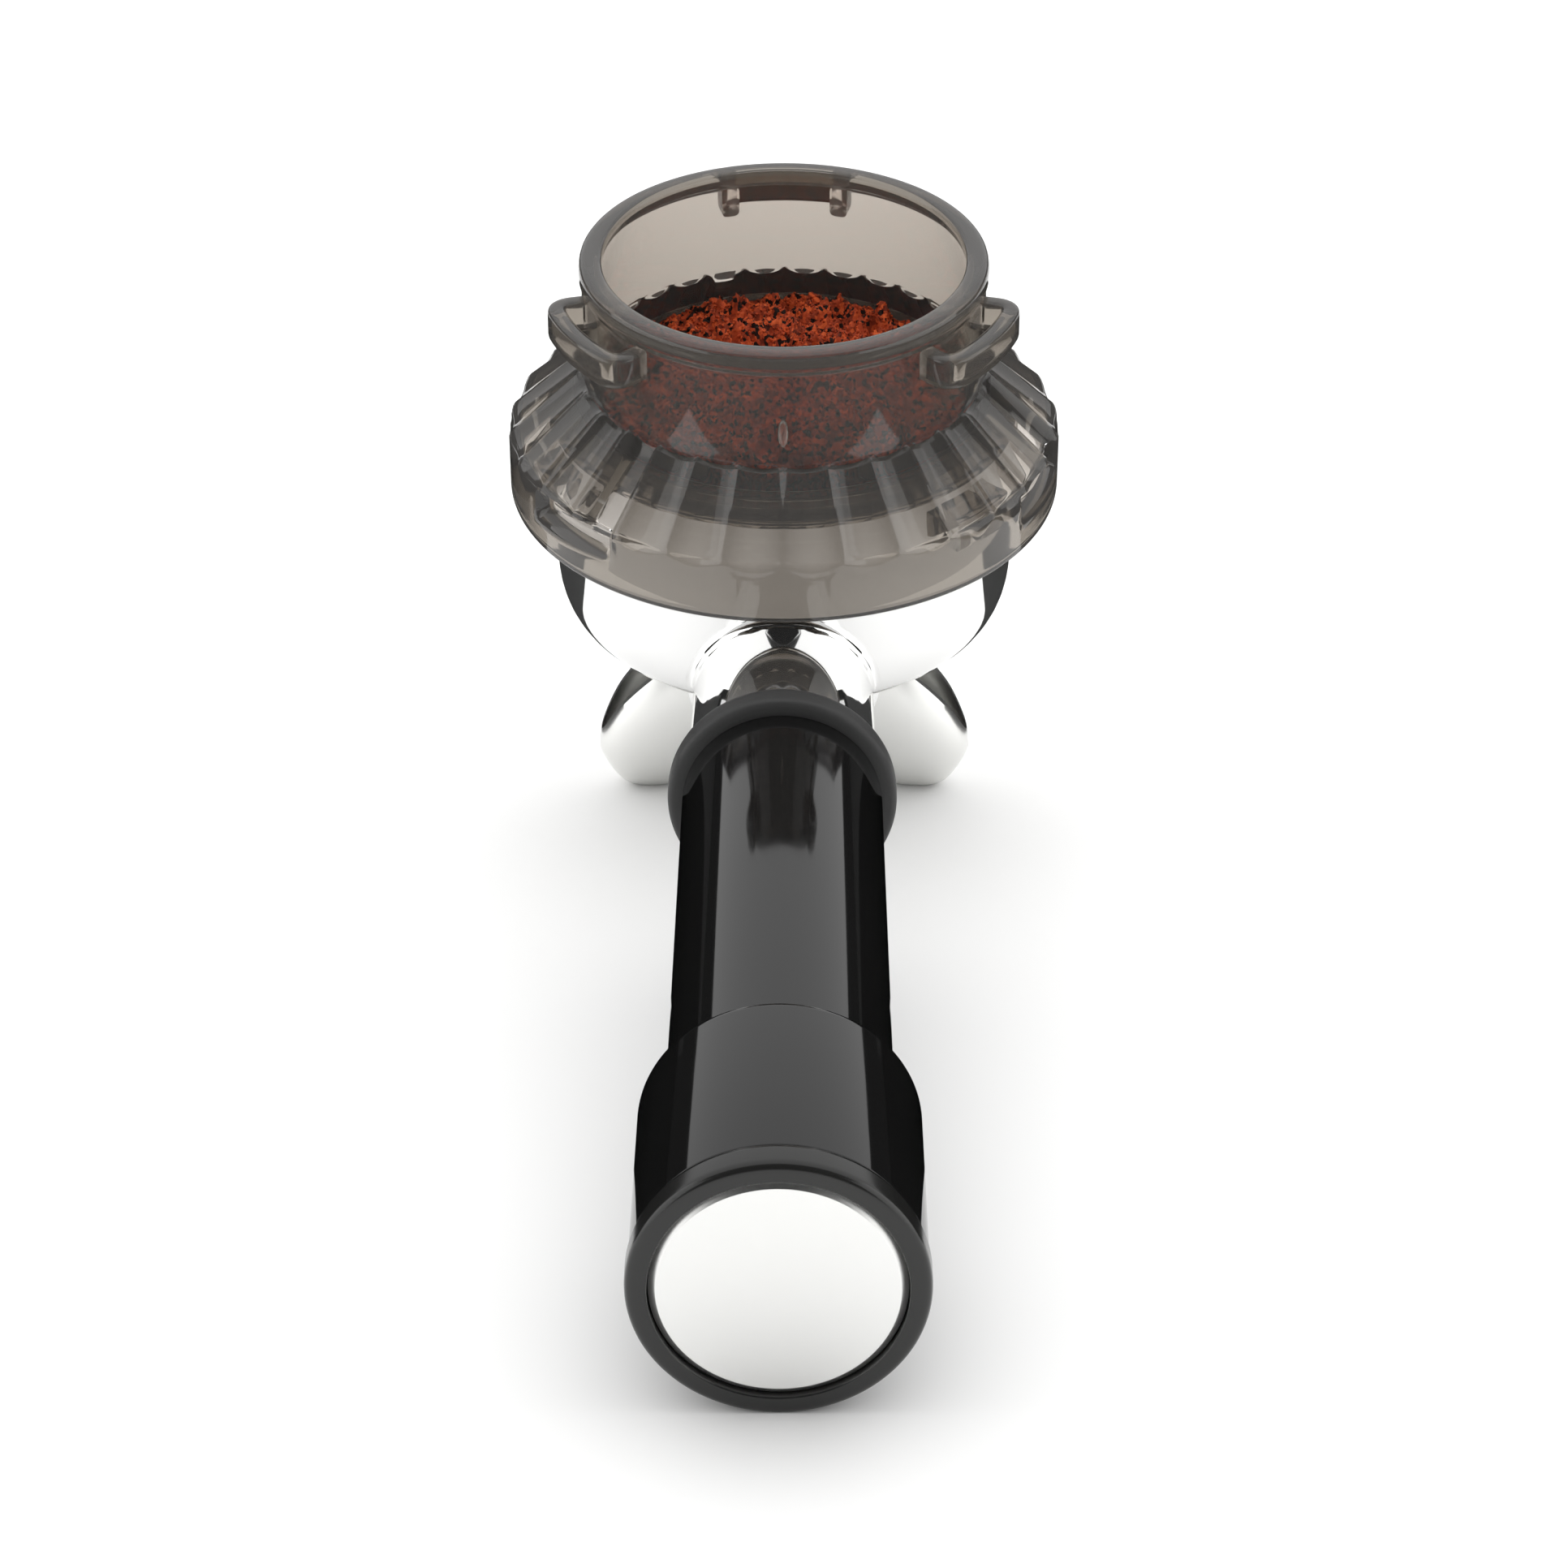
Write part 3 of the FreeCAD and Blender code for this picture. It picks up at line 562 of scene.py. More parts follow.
def heap_height(across, along):
    """Height of the coffee's surface over the bowl's rim, lumpy and highest near the middle."""
    out = math.hypot(across, along) / COFFEE_R
    crown = COFFEE_EDGE + (COFFEE_CROWN - COFFEE_EDGE) * (1 - smooth(out ** 1.3))
    lumps = noise.fractal(Vector((across, along, 3.0)) * LUMPS["fineness"], 0.6, 2.1, 5) * LUMPS["height"]
    spot = Vector((across, along, 9.0)) * CLODS["fineness"]
    clods = noise.hetero_terrain(spot, 0.7, 2.2, 5, 0.7) * CLODS["height"] - CLODS["sunk"]
    hollow = HOLLOW["depth"] * math.exp(-((across - HOLLOW["across"]) ** 2) / HOLLOW["wide"]
                                        - ((along - HOLLOW["along"]) ** 2) / HOLLOW["long"])
    level = smooth((out - LEVEL_EDGE) / (1 - LEVEL_EDGE)) * 0.8
    return crown + (lumps + clods) * (1 - level) - hollow


def make_coffee(finish):
    rings = []
    outline_low = [(0.0, -BASKET_DEEP + 1.0), (23.5, -BASKET_DEEP + 1.0), (26.2, -BASKET_DEEP + 4.0),
                   (26.4, -8.0), (COFFEE_R, -2.0)]
    for index in range(COFFEE_TURNS):
        angle = math.tau * index / COFFEE_TURNS
        ring = [spun_point(radius, height, angle) for radius, height in outline_low]
        for step in range(COFFEE_SHELLS + 1):
            radius = COFFEE_R * (1 - step / COFFEE_SHELLS)
            spot = spun_point(radius, 0, angle)
            spot.z = heap_height(spot.x, spot.y)
            ring.append(spot)
        rings.append(ring)
    verts, faces = ring_mesh(rings, False)
    heap = finish_mesh("coffee_heap", verts, faces, BOWL, 180.0)
    heap.data.materials.append(finish)
    grains = grown(heap, grain_tree(finish), GRAINS)
    return settle(grains, finish, "basket", "coffee", "ground_coffee")


def new_tree(name, inputs):
    """An empty geometry node tree with a mesh in, a mesh out and named number inputs."""
    tree = bpy.data.node_groups.new(name, "GeometryNodeTree")
    tree.interface.new_socket("Geometry", in_out="INPUT", socket_type="NodeSocketGeometry")
    tree.interface.new_socket("Geometry", in_out="OUTPUT", socket_type="NodeSocketGeometry")
    for label, default in inputs:
        socket = tree.interface.new_socket(label, in_out="INPUT", socket_type="NodeSocketFloat")
        socket.default_value = default
    return tree


def add(tree, kind, **values):
    node = tree.nodes.new(kind)
    for key, value in values.items():
        setattr(node, key, value)
    return node


def facing_up(tree):
    """Selection of the faces that look up and lie on the heap's top."""
    normal = add(tree, "GeometryNodeInputNormal")
    place = add(tree, "GeometryNodeInputPosition")
    upright = add(tree, "ShaderNodeSeparateXYZ")
    height = add(tree, "ShaderNodeSeparateXYZ")
    faces_up = add(tree, "FunctionNodeCompare", data_type="FLOAT", operation="GREATER_THAN")
    high = add(tree, "FunctionNodeCompare", data_type="FLOAT", operation="GREATER_THAN")
    both = add(tree, "FunctionNodeBooleanMath", operation="AND")
    faces_up.inputs[1].default_value = 0.35
    high.inputs[1].default_value = (BOWL @ Vector((0, 20, -2))).z
    link = tree.links.new
    link(normal.outputs[0], upright.inputs[0])
    link(place.outputs[0], height.inputs[0])
    link(upright.outputs["Z"], faces_up.inputs[0])
    link(height.outputs["Z"], high.inputs[0])
    link(faces_up.outputs[0], both.inputs[0])
    link(high.outputs[0], both.inputs[1])
    return both.outputs[0]


def random_vector(tree, seed):
    """A different random vector for each grain."""
    values = add(tree, "FunctionNodeRandomValue", data_type="FLOAT_VECTOR")
    values.inputs["Seed"].default_value = seed
    return values


def grain_tree(finish):
    """Scatter rough grains over the top of the heap and keep the heap under them."""
    tree = new_tree("coffee_grains", [("Density", 1e6), ("Smallest", 0.0002), ("Largest", 0.0005)])
    start = add(tree, "NodeGroupInput")
    end = add(tree, "NodeGroupOutput")
    points = add(tree, "GeometryNodeDistributePointsOnFaces")
    points.inputs["Seed"].default_value = 7
    grain = add(tree, "GeometryNodeMeshIcoSphere")
    grain.inputs["Radius"].default_value = 1.0
    grain.inputs["Subdivisions"].default_value = 1
    sizes = random_vector(tree, 11)
    turns = random_vector(tree, 13)
    turns.inputs[1].default_value = (math.tau, math.tau, math.tau)
    put = add(tree, "GeometryNodeInstanceOnPoints")
    real = add(tree, "GeometryNodeRealizeInstances")
    join = add(tree, "GeometryNodeJoinGeometry")
    paint = add(tree, "GeometryNodeSetMaterial")
    paint.inputs["Material"].default_value = finish
    link = tree.links.new
    link(start.outputs["Geometry"], points.inputs["Mesh"])
    link(facing_up(tree), points.inputs["Selection"])
    link(start.outputs["Density"], points.inputs["Density"])
    link(start.outputs["Smallest"], sizes.inputs[0])
    link(start.outputs["Largest"], sizes.inputs[1])
    link(points.outputs["Points"], put.inputs["Points"])
    link(grain.outputs["Mesh"], put.inputs["Instance"])
    link(turns.outputs[0], put.inputs["Rotation"])
    link(sizes.outputs[0], put.inputs["Scale"])
    link(put.outputs["Instances"], join.inputs[0])
    link(start.outputs["Geometry"], join.inputs[0])
    link(join.outputs[0], real.inputs[0])
    link(real.outputs[0], paint.inputs["Geometry"])
    link(paint.outputs["Geometry"], end.inputs[0])
    return tree


def grown(piece, tree, values):
    """Run a geometry node tree on a piece and keep the result as its plain mesh."""
    modifier = piece.modifiers.new(tree.name, "NODES")
    modifier.node_group = tree
    for item in tree.interface.items_tree:
        if item.item_type == "SOCKET" and item.in_out == "INPUT" and item.name in values:
            modifier[item.identifier] = values[item.name]
    bpy.context.view_layer.update()
    shown = piece.evaluated_get(bpy.context.evaluated_depsgraph_get())
    mesh = bpy.data.meshes.new_from_object(shown)
    piece.modifiers.clear()
    piece.data = mesh
    return piece


# ---------------------------------------------------------------- spout

def gutter(side):
    """One open gutter of the spout, a U-shaped channel that curves down and closes at its tip."""
    lip = [(5.0, -40.0), (11.0, -40.2), (16.0, -41.9), (20.6, -45.6), (24.8, -50.6), (27.7, -56.4)]
    keel = [(1.0, -52.5), (6.5, -58.0), (11.5, -63.6), (17.0, -65.8), (23.8, -65.4), (28.0, -59.4)]
    columns, steps = 56, 24
    verts, faces = [], []
    for shell, shrink in ((0, 0.0), (1, SPOUT_WALL)):
        for column in range(columns + 1):
            t = column / columns
            top = curve_point(lip, t)
            low = curve_point(keel, t)
            closing = max((t - 0.5) / 0.5, 0.0)
            wide = max(SPOUT_WIDE * math.sqrt(1 - 0.96 * closing ** 2.4) - shrink, 0.5)
            down = low - top
            deep = max(down.length - shrink, 0.4)
            down = down.normalized()
            for step in range(steps + 1):
                turn = -LIP_TURN + (math.pi + 2 * LIP_TURN) * step / steps
                swing = math.cos(turn)
                drop = (math.sin(turn) + math.sin(LIP_TURN)) / (1 + math.sin(LIP_TURN)) * deep
                verts.append(Vector((side * (top.x + down.x * drop), wide * swing, top.y + down.y * drop)))
    across = steps + 1
    skin = (columns + 1) * across
    for shell in range(2):
        for column in range(columns):
            for step in range(steps):
                a = shell * skin + column * across + step
                faces.append((a, a + across, a + across + 1, a + 1))
    for column in range(columns):
        for step in (0, steps):
            a = column * across + step
            faces.append((a, a + across, a + across + skin, a + skin))
    for column in (0, columns):
        for step in range(steps):
            a = column * across + step
            faces.append((a, a + 1, a + 1 + skin, a + skin))
    return verts, faces


def curve_point(points, t):
    """Point at t on a smooth curve through evenly spaced points."""
    spans = len(points) - 1
    place = min(t * spans, spans - 1e-6)
    index = int(place)
    part = place - index
    a, b = Vector(points[max(index - 1, 0)]), Vector(points[index])
    c, d = Vector(points[index + 1]), Vector(points[min(index + 2, spans)])
    return 0.5 * (2 * b + (c - a) * part + (2 * a - 5 * b + 4 * c - d) * part ** 2
                  + (3 * b - a - 3 * c + d) * part ** 3)


def make_spout(finish):
    hub = rounded([(6.0, SPOUT_TOP, 0.3), (11.0, SPOUT_TOP, 0.8), (11.0, SPOUT_TOP - 15, 2.5),
                   (7.0, SPOUT_TOP - 15, 0.6), (7.0, SPOUT_TOP - 13, 0.4), (8.6, SPOUT_TOP - 13, 0.3),
                   (8.6, SPOUT_TOP - 8, 0.3), (6.0, SPOUT_TOP - 8, 0.3)], 5)
    rings = []
    for index in range(96):
        angle = math.tau * index / 96
        rings.append([spun_point(point.x, point.y, angle) for point in hub])
    parts = [ring_mesh(rings, True), gutter(1), gutter(-1)]
    verts, faces = put_together(parts)
    piece = finish_mesh("twin_spout", verts, faces, BOWL, 40.0)
    return settle(piece, finish, "portafilter", "spout_steel", "spout_body")


# ---------------------------------------------------------------- handle

def make_handle(finishes):
    shapes = {
        "handle_front_ring": ("front_ring", "matte_black", [
            (CORE_R, RING_FROM, 0), (RING_R, RING_FROM, 2.2), (RING_R, RING_TO - 0.2, 1.3),
            (GRIP_R0, RING_TO, 0), (CORE_R, RING_TO, 0)]),
        "handle_grip": ("grip_sleeve", "gloss_black", [
            (CORE_R, RING_TO, 0), (GRIP_R0, RING_TO, 0.3), (GRIP_R1, GRIP_TO, 0), (CORE_R, GRIP_TO, 0)]),
        "handle_tail": ("tail_sleeve", "gloss_black", [
            (CORE_R, GRIP_TO, 0), (GRIP_R1 + 0.1, GRIP_TO, 0.3), (GRIP_R1 + 0.5, GRIP_TO + 0.4, 0.3),
            (TAIL_R0, GRIP_TO + 0.8, 1.8), (TAIL_R1, TAIL_TO, 0.3), (11.1, TAIL_TO, 0), (11.1, 158.0, 0),
            (CORE_R, 158.0, 0)]),
        "handle_end_ring": ("end_ring", "satin_black", [
            (12.0, TAIL_TO, 0), (END_R - 0.2, TAIL_TO, 0.4), (END_R, TAIL_TO + 0.8, 0.4),
            (END_R, END_TO, 2.6), (DISC_R + 0.1, END_TO, 0.35), (DISC_R + 0.1, DISC_FROM, 0),
            (12.0, DISC_FROM, 0)]),
    }
    for name, (node, finish, corners) in shapes.items():
        piece = lathe(name, corners, HANDLE, 192)
        settle(piece, finishes[finish], "portafilter", finish, node)
    disc = lathe("handle_end_disc", [
        (0, DISC_FROM, 0), (DISC_R, DISC_FROM, 0), (DISC_R, DISC_TO - 0.7, 0.15),
        (DISC_R - 0.9, DISC_TO - 0.05, 0.35), (0, DISC_TO, 0)], HANDLE, 192, False)
    settle(disc, finishes["satin_disc"], "portafilter", "satin_disc", "end_disc")


# ---------------------------------------------------------------- finishes

def settle(piece, finish, body, slot, *nodes):
    """Give a finished piece its material and its body, and hide the CAD nodes it stands for. The slot argument is
    not used.
    """
    piece.data.materials.clear()
    piece.data.materials.append(finish)
    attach(piece, body)
    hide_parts(*nodes)
    return piece


def shader_group(name, inputs, outputs):
    group = bpy.data.node_groups.new(name, "ShaderNodeTree")
    for label, default in inputs:
        socket = group.interface.new_socket(label, in_out="INPUT", socket_type="NodeSocketFloat")
        socket.default_value = default
    for label in outputs:
        group.interface.new_socket(label, in_out="OUTPUT", socket_type="NodeSocketFloat")
    return group


def ranged(tree, source, low, high):
    """Map a 0 to 1 value into a range, both ends numbers or sockets."""
    node = add(tree, "ShaderNodeMapRange")
    tree.links.new(source, node.inputs["Value"])
    for label, end in (("To Min", low), ("To Max", high)):
        if isinstance(end, (int, float)):
            node.inputs[label].default_value = end
        else:
            tree.links.new(end, node.inputs[label])
    return node.outputs["Result"]


def noise_at(tree, scale, detail=3.0, stretch=None):
    coords = add(tree, "ShaderNodeTexCoord")
    texture = add(tree, "ShaderNodeTexNoise")
    texture.inputs["Scale"].default_value = scale
    texture.inputs["Detail"].default_value = detail
    source = coords.outputs["Object"]
    if stretch:
        mapping = add(tree, "ShaderNodeMapping")
        mapping.inputs["Scale"].default_value = stretch
        tree.links.new(source, mapping.inputs["Vector"])
        source = mapping.outputs["Vector"]
    tree.links.new(source, texture.inputs["Vector"])
    return texture.outputs["Fac"]


def handling_marks():
    """Smudges and hair-fine rubbing marks for polished surfaces: a roughness and a height."""
    group = shader_group("handling_marks", [("Smooth", 0.05), ("Rubbed", 0.12)], ["Roughness", "Height"])
    start, end = add(group, "NodeGroupInput"), add(group, "NodeGroupOutput")
    smudge = noise_at(group, 42.0, 4.0)
    hair = noise_at(group, 900.0, 2.0, (1.0, 0.08, 1.0))
    mix = add(group, "ShaderNodeMath", operation="MULTIPLY")
    group.links.new(smudge, mix.inputs[0])
    group.links.new(hair, mix.inputs[1])
    spread = ranged(group, mix.outputs[0], start.outputs["Smooth"], start.outputs["Rubbed"])
    group.links.new(spread, end.inputs["Roughness"])
    group.links.new(hair, end.inputs["Height"])
    return group


def moulded_grain():
    """Fine pebbled grain of a moulded part: a roughness and a height."""
    group = shader_group("moulded_grain", [("Scale", 1500.0), ("Smooth", 0.35), ("Rough", 0.55)],
                         ["Roughness", "Height"])
    start, end = add(group, "NodeGroupInput"), add(group, "NodeGroupOutput")
    coords = add(group, "ShaderNodeTexCoord")
    pebble = add(group, "ShaderNodeTexVoronoi")
    group.links.new(coords.outputs["Object"], pebble.inputs["Vector"])
    group.links.new(start.outputs["Scale"], pebble.inputs["Scale"])
    cloud = noise_at(group, 60.0, 4.0)
    group.links.new(ranged(group, cloud, start.outputs["Smooth"], start.outputs["Rough"]),
                    end.inputs["Roughness"])
    group.links.new(pebble.outputs["Distance"], end.inputs["Height"])
    return group


def principled(name, **values):
    """A new material and its Principled BSDF, with numbers set on the shader's own sockets."""
    finish = bpy.data.materials.new(name)
    finish.use_nodes = True
    shader = finish.node_tree.nodes["Principled BSDF"]
    for label, value in values.items():
        shader.inputs[label.replace("_", " ").title().replace("Ior", "IOR")].default_value = value
    return finish, finish.node_tree, shader


def bumped(tree, shader, height, strength, distance=0.0001):
    bump = add(tree, "ShaderNodeBump")
    bump.inputs["Strength"].default_value = strength
    bump.inputs["Distance"].default_value = distance
    tree.links.new(height, bump.inputs["Height"])
    tree.links.new(bump.outputs["Normal"], shader.inputs["Normal"])


def tinted(tree, source, dark, light, shader):
    """Colour that runs from dark to light with a value."""
    ramp = add(tree, "ShaderNodeValToRGB")
    ramp.color_ramp.elements[0].color = (*dark, 1)
    ramp.color_ramp.elements[1].color = (*light, 1)
    tree.links.new(source, ramp.inputs["Fac"])
    tree.links.new(ramp.outputs["Color"], shader.inputs["Base Color"])
    return ramp


def polished(name, marks, dark, light, smooth_to, rubbed_to, bump=0.02, **values):
    """A polished finish: handling marks over a base colour that drifts between two shades."""
    finish, tree, shader = principled(name, **values)
    rub = add(tree, "ShaderNodeGroup", node_tree=marks)
    rub.inputs["Smooth"].default_value = smooth_to
    rub.inputs["Rubbed"].default_value = rubbed_to
    tree.links.new(rub.outputs["Roughness"], shader.inputs["Roughness"])
    tinted(tree, noise_at(tree, 25.0, 3.0), dark, light, shader)
    bumped(tree, shader, rub.outputs["Height"], bump)
    return finish


def moulded(name, grain, dark, light, scale, smooth_to, rough_to, bump=0.15, **values):
    """A moulded finish: pebbled grain over a base colour that drifts between two shades."""
    finish, tree, shader = principled(name, **values)
    skin = add(tree, "ShaderNodeGroup", node_tree=grain)
    skin.inputs["Scale"].default_value = scale
    skin.inputs["Smooth"].default_value = smooth_to
    skin.inputs["Rough"].default_value = rough_to
    tree.links.new(skin.outputs["Roughness"], shader.inputs["Roughness"])
    tinted(tree, noise_at(tree, 90.0, 3.0), dark, light, shader)
    bumped(tree, shader, skin.outputs["Height"], bump)
    return finish


def smoked_plastic():
    """Clear smoke-tinted plastic: the tint is in its depth, so edges and thick bars are darkest."""
    finish, tree, shader = principled("smoked_plastic", transmission_weight=0.945, ior=1.49)
    shader.inputs["Base Color"].default_value = (0.94, 0.89, 0.85, 1)
    tree.links.new(ranged(tree, noise_at(tree, 70.0, 3.0), 0.03, 0.07), shader.inputs["Roughness"])
    bumped(tree, shader, noise_at(tree, 160.0, 2.0), 0.04)
    depth = add(tree, "ShaderNodeVolumeAbsorption")
    depth.inputs["Color"].default_value = (0.36, 0.325, 0.265, 1)
    depth.inputs["Density"].default_value = 640.0
    shade = add(tree, "ShaderNodeBsdfTransparent")
    shade.inputs["Color"].default_value = (0.86, 0.84, 0.81, 1)
    rays = add(tree, "ShaderNodeLightPath")
    mix = add(tree, "ShaderNodeMixShader")
    out = tree.nodes["Material Output"]
    tree.links.new(rays.outputs["Is Shadow Ray"], mix.inputs["Fac"])
    tree.links.new(shader.outputs["BSDF"], mix.inputs[1])
    tree.links.new(shade.outputs["BSDF"], mix.inputs[2])
    tree.links.new(mix.outputs["Shader"], out.inputs["Surface"])
    tree.links.new(depth.outputs["Volume"], out.inputs["Volume"])
    return finish


def coffee_finish():
    """Ground coffee: vivid red-brown grains, some dark, with a rough crumbly surface."""
    finish, tree, shader = principled("ground_coffee", specular_ior_level=0.25)
    coords = add(tree, "ShaderNodeTexCoord")
    cells = add(tree, "ShaderNodeTexVoronoi")
    cells.inputs["Scale"].default_value = 1500.0
    tree.links.new(coords.outputs["Object"], cells.inputs["Vector"])
    tone = add(tree, "ShaderNodeSeparateColor")
    tree.links.new(cells.outputs["Color"], tone.inputs["Color"])
    ramp = tinted(tree, tone.outputs[0], (0.012, 0.004, 0.002), (0.60, 0.095, 0.02), shader)
    between = ((0.16, (0.02, 0.006, 0.003)), (0.24, (0.2, 0.024, 0.006)), (0.7, (0.42, 0.052, 0.011)))
    for spot, colour in between:
        stop = ramp.color_ramp.elements.new(spot)
        stop.color = (*colour, 1)
    tree.links.new(ranged(tree, noise_at(tree, 600.0, 4.0), 0.55, 0.9), shader.inputs["Roughness"])
    bumped(tree, shader, noise_at(tree, 1300.0, 6.0), 0.7, 0.0004)
    return finish


def make_finishes():
    marks = handling_marks()
    grain = moulded_grain()
    steel = (0.55, 0.55, 0.54)
    bright = (0.72, 0.72, 0.71)
    return {
        "chromed_brass": polished("chromed_brass", marks, (0.90, 0.90, 0.90), (0.94, 0.94, 0.93),
                                  0.03, 0.07, 0.01, metallic=1.0),
        "spout_steel": polished("spout_steel", marks, (0.80, 0.80, 0.78), (0.88, 0.88, 0.86),
                                0.27, 0.31, 0.0, metallic=1.0),
        "steel_bolt": polished("steel_bolt", marks, steel, bright, 0.18, 0.35, 0.05, metallic=1.0),
        "spring_steel": polished("spring_steel", marks, (0.4, 0.4, 0.4), steel, 0.15, 0.3, 0.05,
                                 metallic=1.0),
        "steel_sheet": polished("steel_sheet", marks, steel, bright, 0.16, 0.32, 0.05, metallic=1.0),
        "zinc_steel": polished("zinc_steel", marks, (0.5, 0.52, 0.55), (0.62, 0.62, 0.6), 0.3, 0.5, 0.05,
                               metallic=1.0),
        "satin_disc": polished("satin_disc", marks, (0.87, 0.87, 0.85), (0.92, 0.92, 0.91), 0.28, 0.42, 0.02,
                               metallic=1.0),
        "gloss_black": polished("gloss_black", marks, (0.004, 0.004, 0.004), (0.007, 0.007, 0.007),
                                0.05, 0.10, 0.01, specular_ior_level=0.5),
        "satin_black": moulded("satin_black", grain, (0.010, 0.010, 0.010), (0.016, 0.016, 0.015), 2500.0,
                               0.17, 0.24, 0.01),
        "matte_black": moulded("matte_black", grain, (0.022, 0.022, 0.022), (0.032, 0.032, 0.032), 2200.0,
                               0.5, 0.62, 0.12),
        "black_plastic": moulded("black_plastic", grain, (0.02, 0.02, 0.02), (0.035, 0.035, 0.035), 1400.0,
                                 0.4, 0.6, 0.2),
        "rubber_seal": moulded("rubber_seal", grain, (0.015, 0.015, 0.015), (0.03, 0.03, 0.03), 1800.0,
                               0.6, 0.8, 0.3),
        "smoked_plastic": smoked_plastic(),
        "coffee": coffee_finish(),
    }


def dress_cad_nodes(finishes):
    """Give every CAD node the finish of its record slot."""
    for entry in frame["record"]["subparts"]:
        node = frame["nodes"][entry["node"]]
        node.data.materials.clear()
        node.data.materials.append(finishes[entry["material_slot"]])


# ---------------------------------------------------------------- stage

def plane(name, centre, across, along, normal):
    """A flat stage panel with the given middle, size and facing direction."""
    turn = Vector(normal).to_track_quat("Z", "Y").to_matrix().to_4x4()
    place = Matrix.Translation(centre) @ turn
    half_x, half_y = across / 2, along / 2
    corners = [place @ Vector(c) for c in ((-half_x, -half_y, 0), (half_x, -half_y, 0),
                                           (half_x, half_y, 0), (-half_x, half_y, 0))]
    mesh = bpy.data.meshes.new(name)
    mesh.from_pydata([tuple(c) for c in corners], [], [(0, 1, 2, 3)])
    panel = bpy.data.objects.new(name, mesh)
    bpy.context.collection.objects.link(panel)
    return panel


def make_stage():
    floor = plane("floor", (0, 0, 0), 12, 12, (0, 0, 1))
    paper, tree, shader = principled("white_paper", specular_ior_level=0.0)
    tinted(tree, noise_at(tree, 3.0), (0.86, 0.86, 0.855), (0.88, 0.88, 0.875), shader)
    shader.inputs["Roughness"].default_value = 0.9
    floor.data.materials.append(paper)


def one_sided(name, tone, glow, mirrors=8):
    """Card that is seen from its front only, and over no more than the given number of mirrors."""
    finish, tree, shader = principled(name, specular_ior_level=0.0, roughness=1.0)
    tinted(tree, noise_at(tree, 3.0), (tone, tone, tone), (tone * 1.2, tone * 1.2, tone * 1.2), shader)
    shader.inputs["Emission Color"].default_value = (1, 1, 1, 1)
    shader.inputs["Emission Strength"].default_value = glow
    clear = add(tree, "ShaderNodeBsdfTransparent")
    side = add(tree, "ShaderNodeNewGeometry")
    rays = add(tree, "ShaderNodeLightPath")
    past = add(tree, "ShaderNodeMath", operation="GREATER_THAN")
    past.inputs[1].default_value = mirrors + 0.5
    hidden = add(tree, "ShaderNodeMath", operation="MAXIMUM")
    mix = add(tree, "ShaderNodeMixShader")
    tree.links.new(rays.outputs["Glossy Depth"], past.inputs[0])
    tree.links.new(side.outputs["Backfacing"], hidden.inputs[0])
    tree.links.new(past.outputs[0], hidden.inputs[1])
    tree.links.new(hidden.outputs[0], mix.inputs["Fac"])
    tree.links.new(shader.outputs["BSDF"], mix.inputs[1])
    tree.links.new(clear.outputs["BSDF"], mix.inputs[2])
    tree.links.new(mix.outputs["Shader"], tree.nodes["Material Output"].inputs["Surface"])
    return finish


def for_reflections_only(card, finish):
    """Give a card its finish and hide it from everything but mirror-like reflections."""
    card.data.materials.append(finish)
    card.visible_camera = False
    card.visible_diffuse = False
    card.visible_transmission = False
    card.visible_shadow = False


def curved_card():
    """A strip that runs round the front of the bowl under the funnel's skirt and faces the bowl; its grey glow,
    seen only in the chrome, is a painted reflection of the shade under the skirt.
    """
    radius = (BOWL_R + SKIRT_IN) / 2
    verts = []
    for step in range(STRIP["spans"] + 1):
        angle = math.radians(STRIP["half_turn"] * (2 * step / STRIP["spans"] - 1))
        for height in (STRIP["top"], STRIP["low"]):
            verts.append(BOWL @ spun_point(radius, height, angle))
    faces = [(2 * step, 2 * step + 2, 2 * step + 3, 2 * step + 1) for step in range(STRIP["spans"])]
    mesh = bpy.data.meshes.new("card_under_skirt")
    mesh.from_pydata([tuple(corner) for corner in verts], [], faces)
    card = bpy.data.objects.new("card_under_skirt", mesh)
    bpy.context.collection.objects.link(card)
    return card


def make_cards():
    """Dark cards beside the object, a pale glowing strip under the skirt and a grey card behind the bowl. The
    strip is a painted reflection: seen only in the bowl's chrome, it darkens the chrome under the skirt as painted
    shade.

    The grey card is the only one that shows through the clear plastic, and it doesn't reflect.
    """
    tones = sorted({card[-1] for card in CARDS})
    shades = {tone: one_sided(f"card_{tone:.3f}", tone, 0.0) for tone in tones}
    for side in (-1, 1):
        for name, centre, across, along, normal, tone in CARDS:
            centre = (side * centre[0], centre[1], centre[2])
            card = plane(f"{name}_{'left' if side < 0 else 'right'}", centre, across, along, normal)
            for_reflections_only(card, shades[tone])
    # painted reflection: the strip glows and is seen only in the bowl's chrome, where it stands for the shade
    # under the skirt
    for_reflections_only(curved_card(), one_sided("painted_reflection_strip", 0.5, 0.5, 1))
    card = plane("card_behind_bowl", (0, 0.2, 0.18), 0.4, 0.24, (0, -1, 0))
    for_reflections_only(card, one_sided("grey_card", 0.05, 0.07))
    card.visible_glossy = False
    card.visible_transmission = True


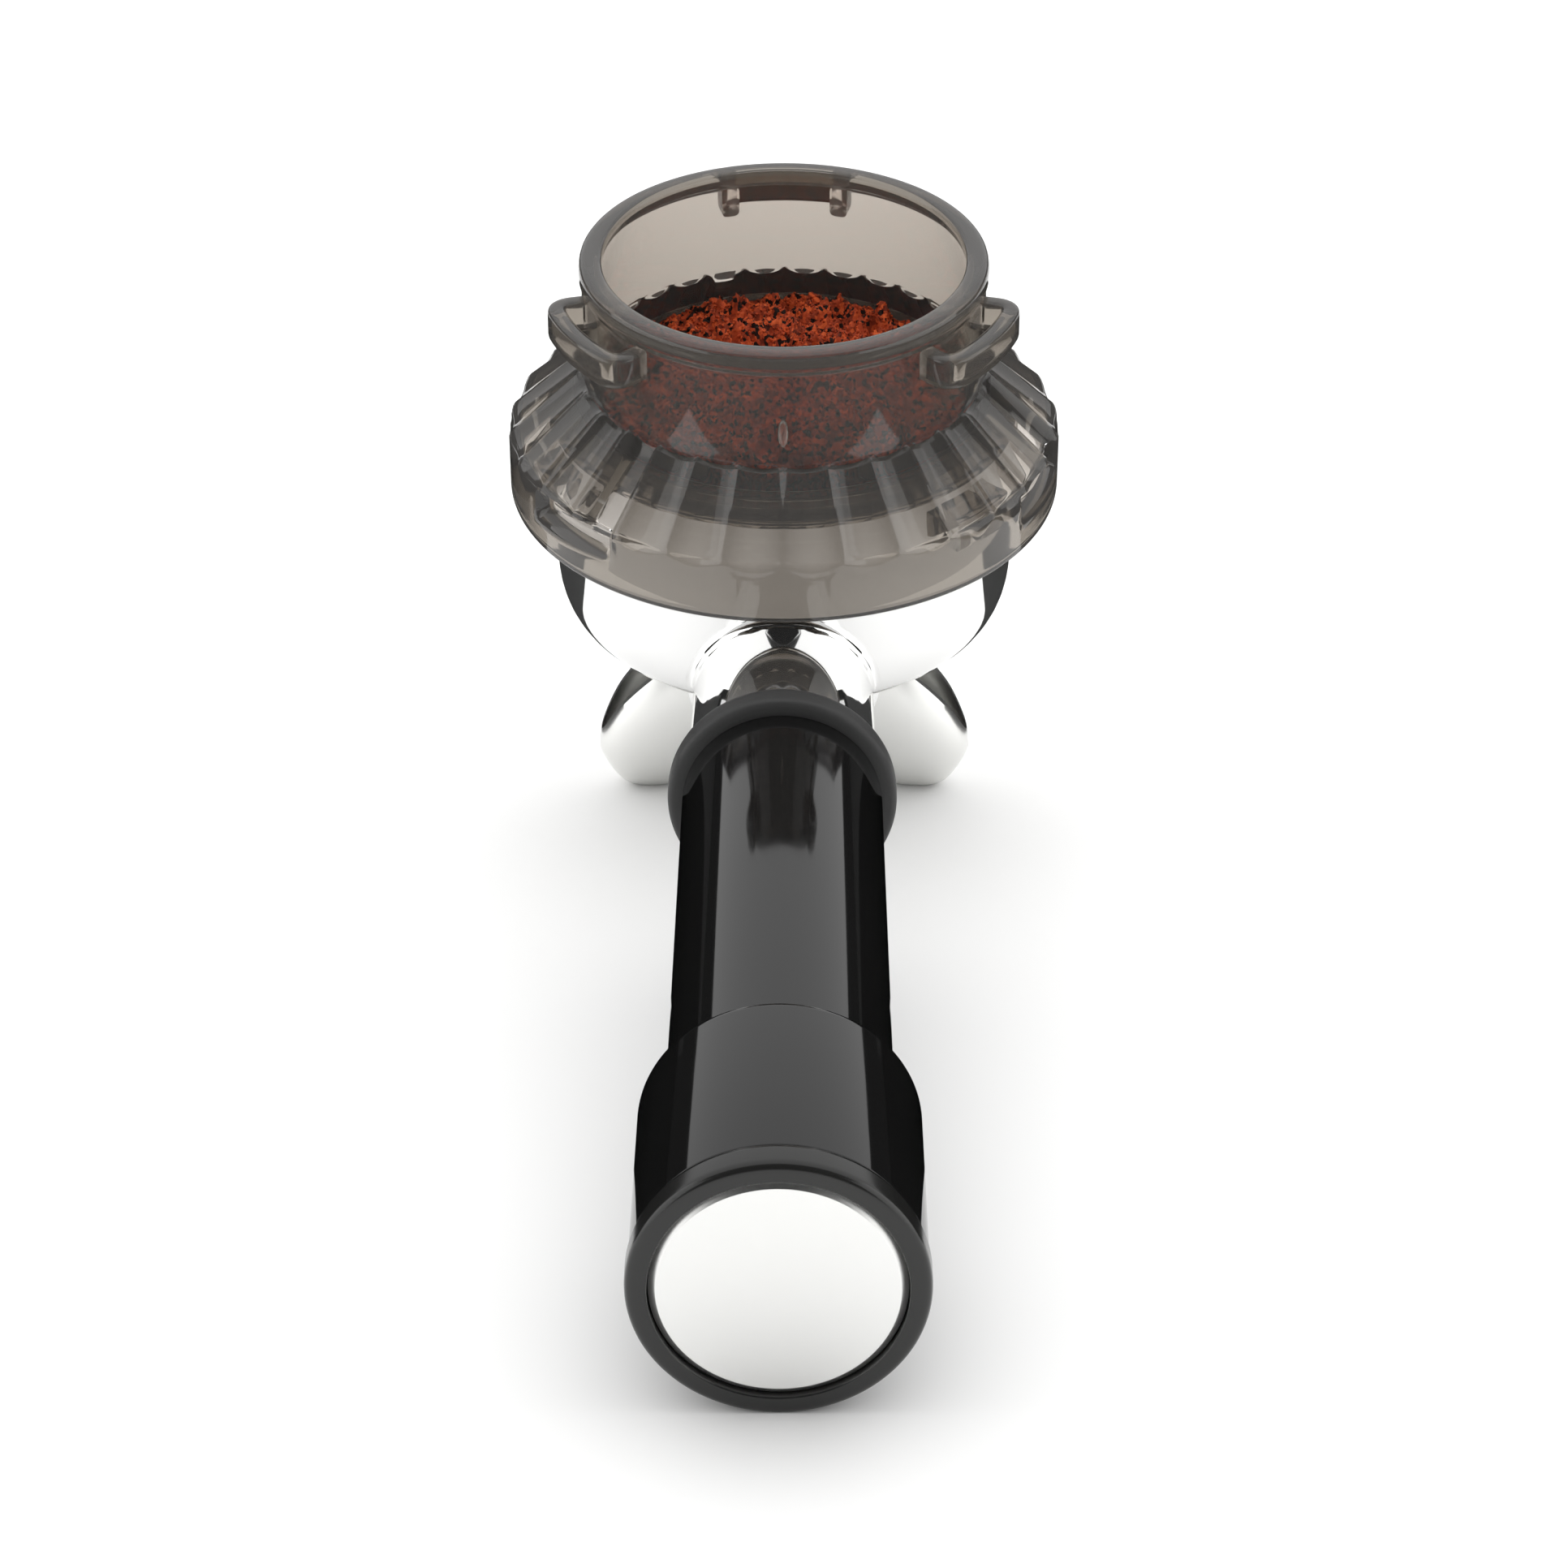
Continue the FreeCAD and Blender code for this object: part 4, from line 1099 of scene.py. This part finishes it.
def make_walls():
    """White walls left and right of the camera, for the reflections in the chrome."""
    white, tree, shader = principled("white_wall", specular_ior_level=0.0)
    tinted(tree, noise_at(tree, 3.0), (0.85, 0.85, 0.84), (0.88, 0.88, 0.87), shader)
    shader.inputs["Emission Color"].default_value = (1, 1, 1, 1)
    shader.inputs["Emission Strength"].default_value = WALL_GLOW
    for side in (-1, 1):
        wall = plane(f"white_wall_{'left' if side < 0 else 'right'}", (side * WALL_AWAY, WALL_ALONG, WALL_UP),
                     WALL_LONG, WALL_HIGH, (-side, 0, 0))
        for_reflections_only(wall, white)


def soft_light(name, centre, size, energy, aim):
    data = bpy.data.lights.new(name, "AREA")
    data.shape = "RECTANGLE"
    data.size, data.size_y = size
    data.energy = energy
    lamp = bpy.data.objects.new(name, data)
    direction = Vector(aim) - Vector(centre)
    lamp.rotation_euler = direction.to_track_quat("-Z", "Y").to_euler()
    lamp.location = centre
    bpy.context.collection.objects.link(lamp)
    return lamp


def make_lights():
    world = bpy.data.worlds.new("studio")
    world.use_nodes = True
    world.node_tree.nodes["Background"].inputs["Color"].default_value = (1, 1, 1, 1)
    tree = world.node_tree
    rays = add(tree, "ShaderNodeLightPath")
    tree.links.new(ranged(tree, rays.outputs["Is Diffuse Ray"], ROOM_IN_MIRRORS, ROOM_ON_MATT),
                   tree.nodes["Background"].inputs["Strength"])
    bpy.context.scene.world = world
    soft_light("overhead", (0, LIGHT_ALONG, LIGHT_HEIGHT), LIGHT_SIZE, LIGHT_POWER, (0, LIGHT_ALONG, 0))


def make_camera():
    swing = Matrix.Rotation(VIEW_TURN, 3, "Z")
    forward = swing @ Vector((0, math.cos(VIEW_PITCH), -math.sin(VIEW_PITCH)))
    upward = swing @ Vector((0, math.sin(VIEW_PITCH), math.cos(VIEW_PITCH)))
    aim = BOWL @ Vector((0, 0, SKIRT_LOW)) - upward * AIM_BELOW
    data = bpy.data.cameras.new("camera")
    data.lens = VIEW_LENS
    data.sensor_width = 36
    camera = bpy.data.objects.new("camera", data)
    camera.location = aim - forward * VIEW_DISTANCE
    camera.rotation_euler = forward.to_track_quat("-Z", "Y").to_euler()
    bpy.context.collection.objects.link(camera)
    bpy.context.scene.camera = camera


def main():
    finishes = make_finishes()
    dress_cad_nodes(finishes)
    make_bowl(finishes["chromed_brass"])
    make_funnel(finishes["smoked_plastic"])
    make_coffee(finishes["coffee"])
    make_spout(finishes["spout_steel"])
    make_handle(finishes)
    make_stage()
    make_cards()
    make_walls()
    make_lights()
    make_camera()
    bpy.context.scene.view_settings.view_transform = "Standard"


main()
